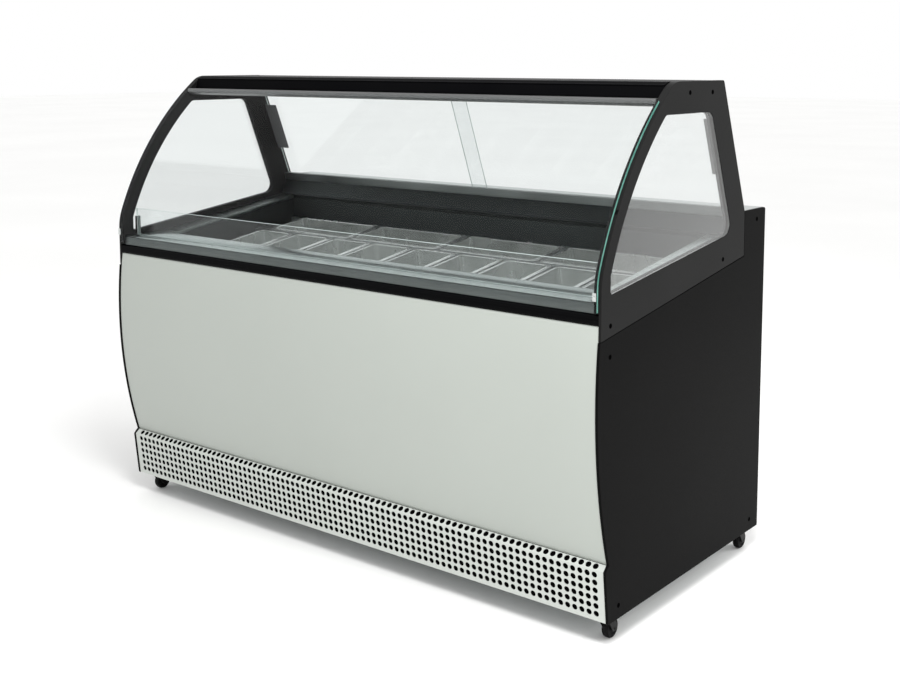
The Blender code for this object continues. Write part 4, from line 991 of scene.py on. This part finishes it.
refinish(moulded_black, "control_panel")
gloss_window = mottled("smoked_acrylic_window", "08090a", "0d0f11", 0.02, Roughness=0.08, Coat_Weight=0.6)
low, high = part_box("control_panel")
middle_z, plate_y = (low.z + high.z) / 2, high.y


def tile(x, z, half_x, half_z, radius, proud):
    """A flat tile with round corners standing off the control plate."""
    outline = cornered(half_x, half_z, radius, 6) + (x, z)
    points, faces = carried(outline, plate_y - 0.0002, plate_y + proud)
    return points[:, [1, 0, 2]], faces


display = tile(low.x + 0.052, middle_z, 0.036, 0.016, 0.003, 0.0009)
made = make("display_window", display, gloss_window, 0.0004)
fit(made, "cabinet", "black_plastic")
key_xs = [low.x + 0.108 + 0.022 * k for k in range(3)]
made = make("blank_keys", together(*[tile(x, middle_z, 0.008, 0.006, 0.003, 0.0012) for x in key_xs]),
            lamp_anodised, 0.0005)
fit(made, "cabinet", "black_plastic")

low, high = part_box("lamp_switch")
hub_y, hub_z, rest_tilt = plate_y + 0.0005, 0.882, radians(-7)
rocker = rounded([(-0.0035, -0.0080, 0), (0.0020, -0.0085, 0.001), (0.0036, 0.0, 0.03),
                  (0.0020, 0.0085, 0.001), (-0.0035, 0.0080, 0)])
turned_rocker = rocker @ np.array([(cos(rest_tilt), sin(rest_tilt)), (-sin(rest_tilt), cos(rest_tilt))])
made = make("lamp_rocker", carried(turned_rocker + (hub_y, hub_z), low.x, high.x), moulded_black, 0.0005)
fit(made, "lamp_switch", "black_plastic", "lamp_switch")

low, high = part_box("cable_gland")
gland_r, gland_spot = (high.x - low.x) / 2, ((low.x + high.x) / 2, low.y, (low.z + high.z) / 2)
gland = turned([(0, 0), (gland_r, 0), (gland_r, 0.0035), (gland_r - 0.001, 0.0042), (0.0096, 0.0044),
                (0.0086, 0.0082), (0.0074, 0.0090), (0.0048, 0.0090), (0.0048, 0.0060), (0, 0.0060)],
               48, gland_spot, "Y")
made = make("mains_gland", gland, moulded_black)
fit(made, "cabinet", "black_plastic", "cable_gland")

# ---------------------------------------------------------------- screws
# Black socket screws fix the end frames, the side panels and the rear sheet: a low head with a recess.
# Black oxide heads; their pure black with no sheen is partly painted shade of the recess each sits in,
# so each reads as a dark dot on the coat.

HEAD_R, HEAD_RISE, SOCKET_R = 0.0058, 0.0007, 0.0024
screw_black_and_recess_shade = mottled("black_screw_painted_recess_shade", "030303", "060606", 0.003, Roughness=0.7, Specular_IOR_Level=0.0)


def screw(spot, axis, way):
    """A screw head turned about an axis, its rise in the given way, standing on a spot of a sheet."""
    rises = [(0, -0.0003), (HEAD_R, -0.0003), (HEAD_R, HEAD_RISE * 0.5), (HEAD_R - 0.0005, HEAD_RISE),
             (SOCKET_R, HEAD_RISE), (SOCKET_R, HEAD_RISE * 0.2), (0, HEAD_RISE * 0.2)]
    return turned([(radius, way * rise) for radius, rise in rises], 24, spot, axis)


FRAME_SCREWS = ((-0.0215, 1.294), (0.0985, 1.293), (0.1785, 0.856), (-0.3815, 0.774))
PANEL_SCREWS = ((-0.3815, 0.702), (0.3795, 0.942), (-0.3275, 0.095), (0.3805, 0.094))
for side, sign in (("left", -1), ("right", 1)):
    heads = [screw((sign * HALF, y, z), "X", sign) for y, z in FRAME_SCREWS + PANEL_SCREWS]
    made = make(f"side_screws_{side}", together(*heads), screw_black_and_recess_shade)
    fit(made, "cabinet", "fork")
rear_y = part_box("rear_panel")[1].y
heads = [screw((x, rear_y, z), "Y", 1) for x in (-0.84, -0.42, 0.0, 0.42, 0.84) for z in (0.085, 0.925)]
made = make("rear_screws", together(*heads), screw_black_and_recess_shade)
fit(made, "cabinet", "fork")
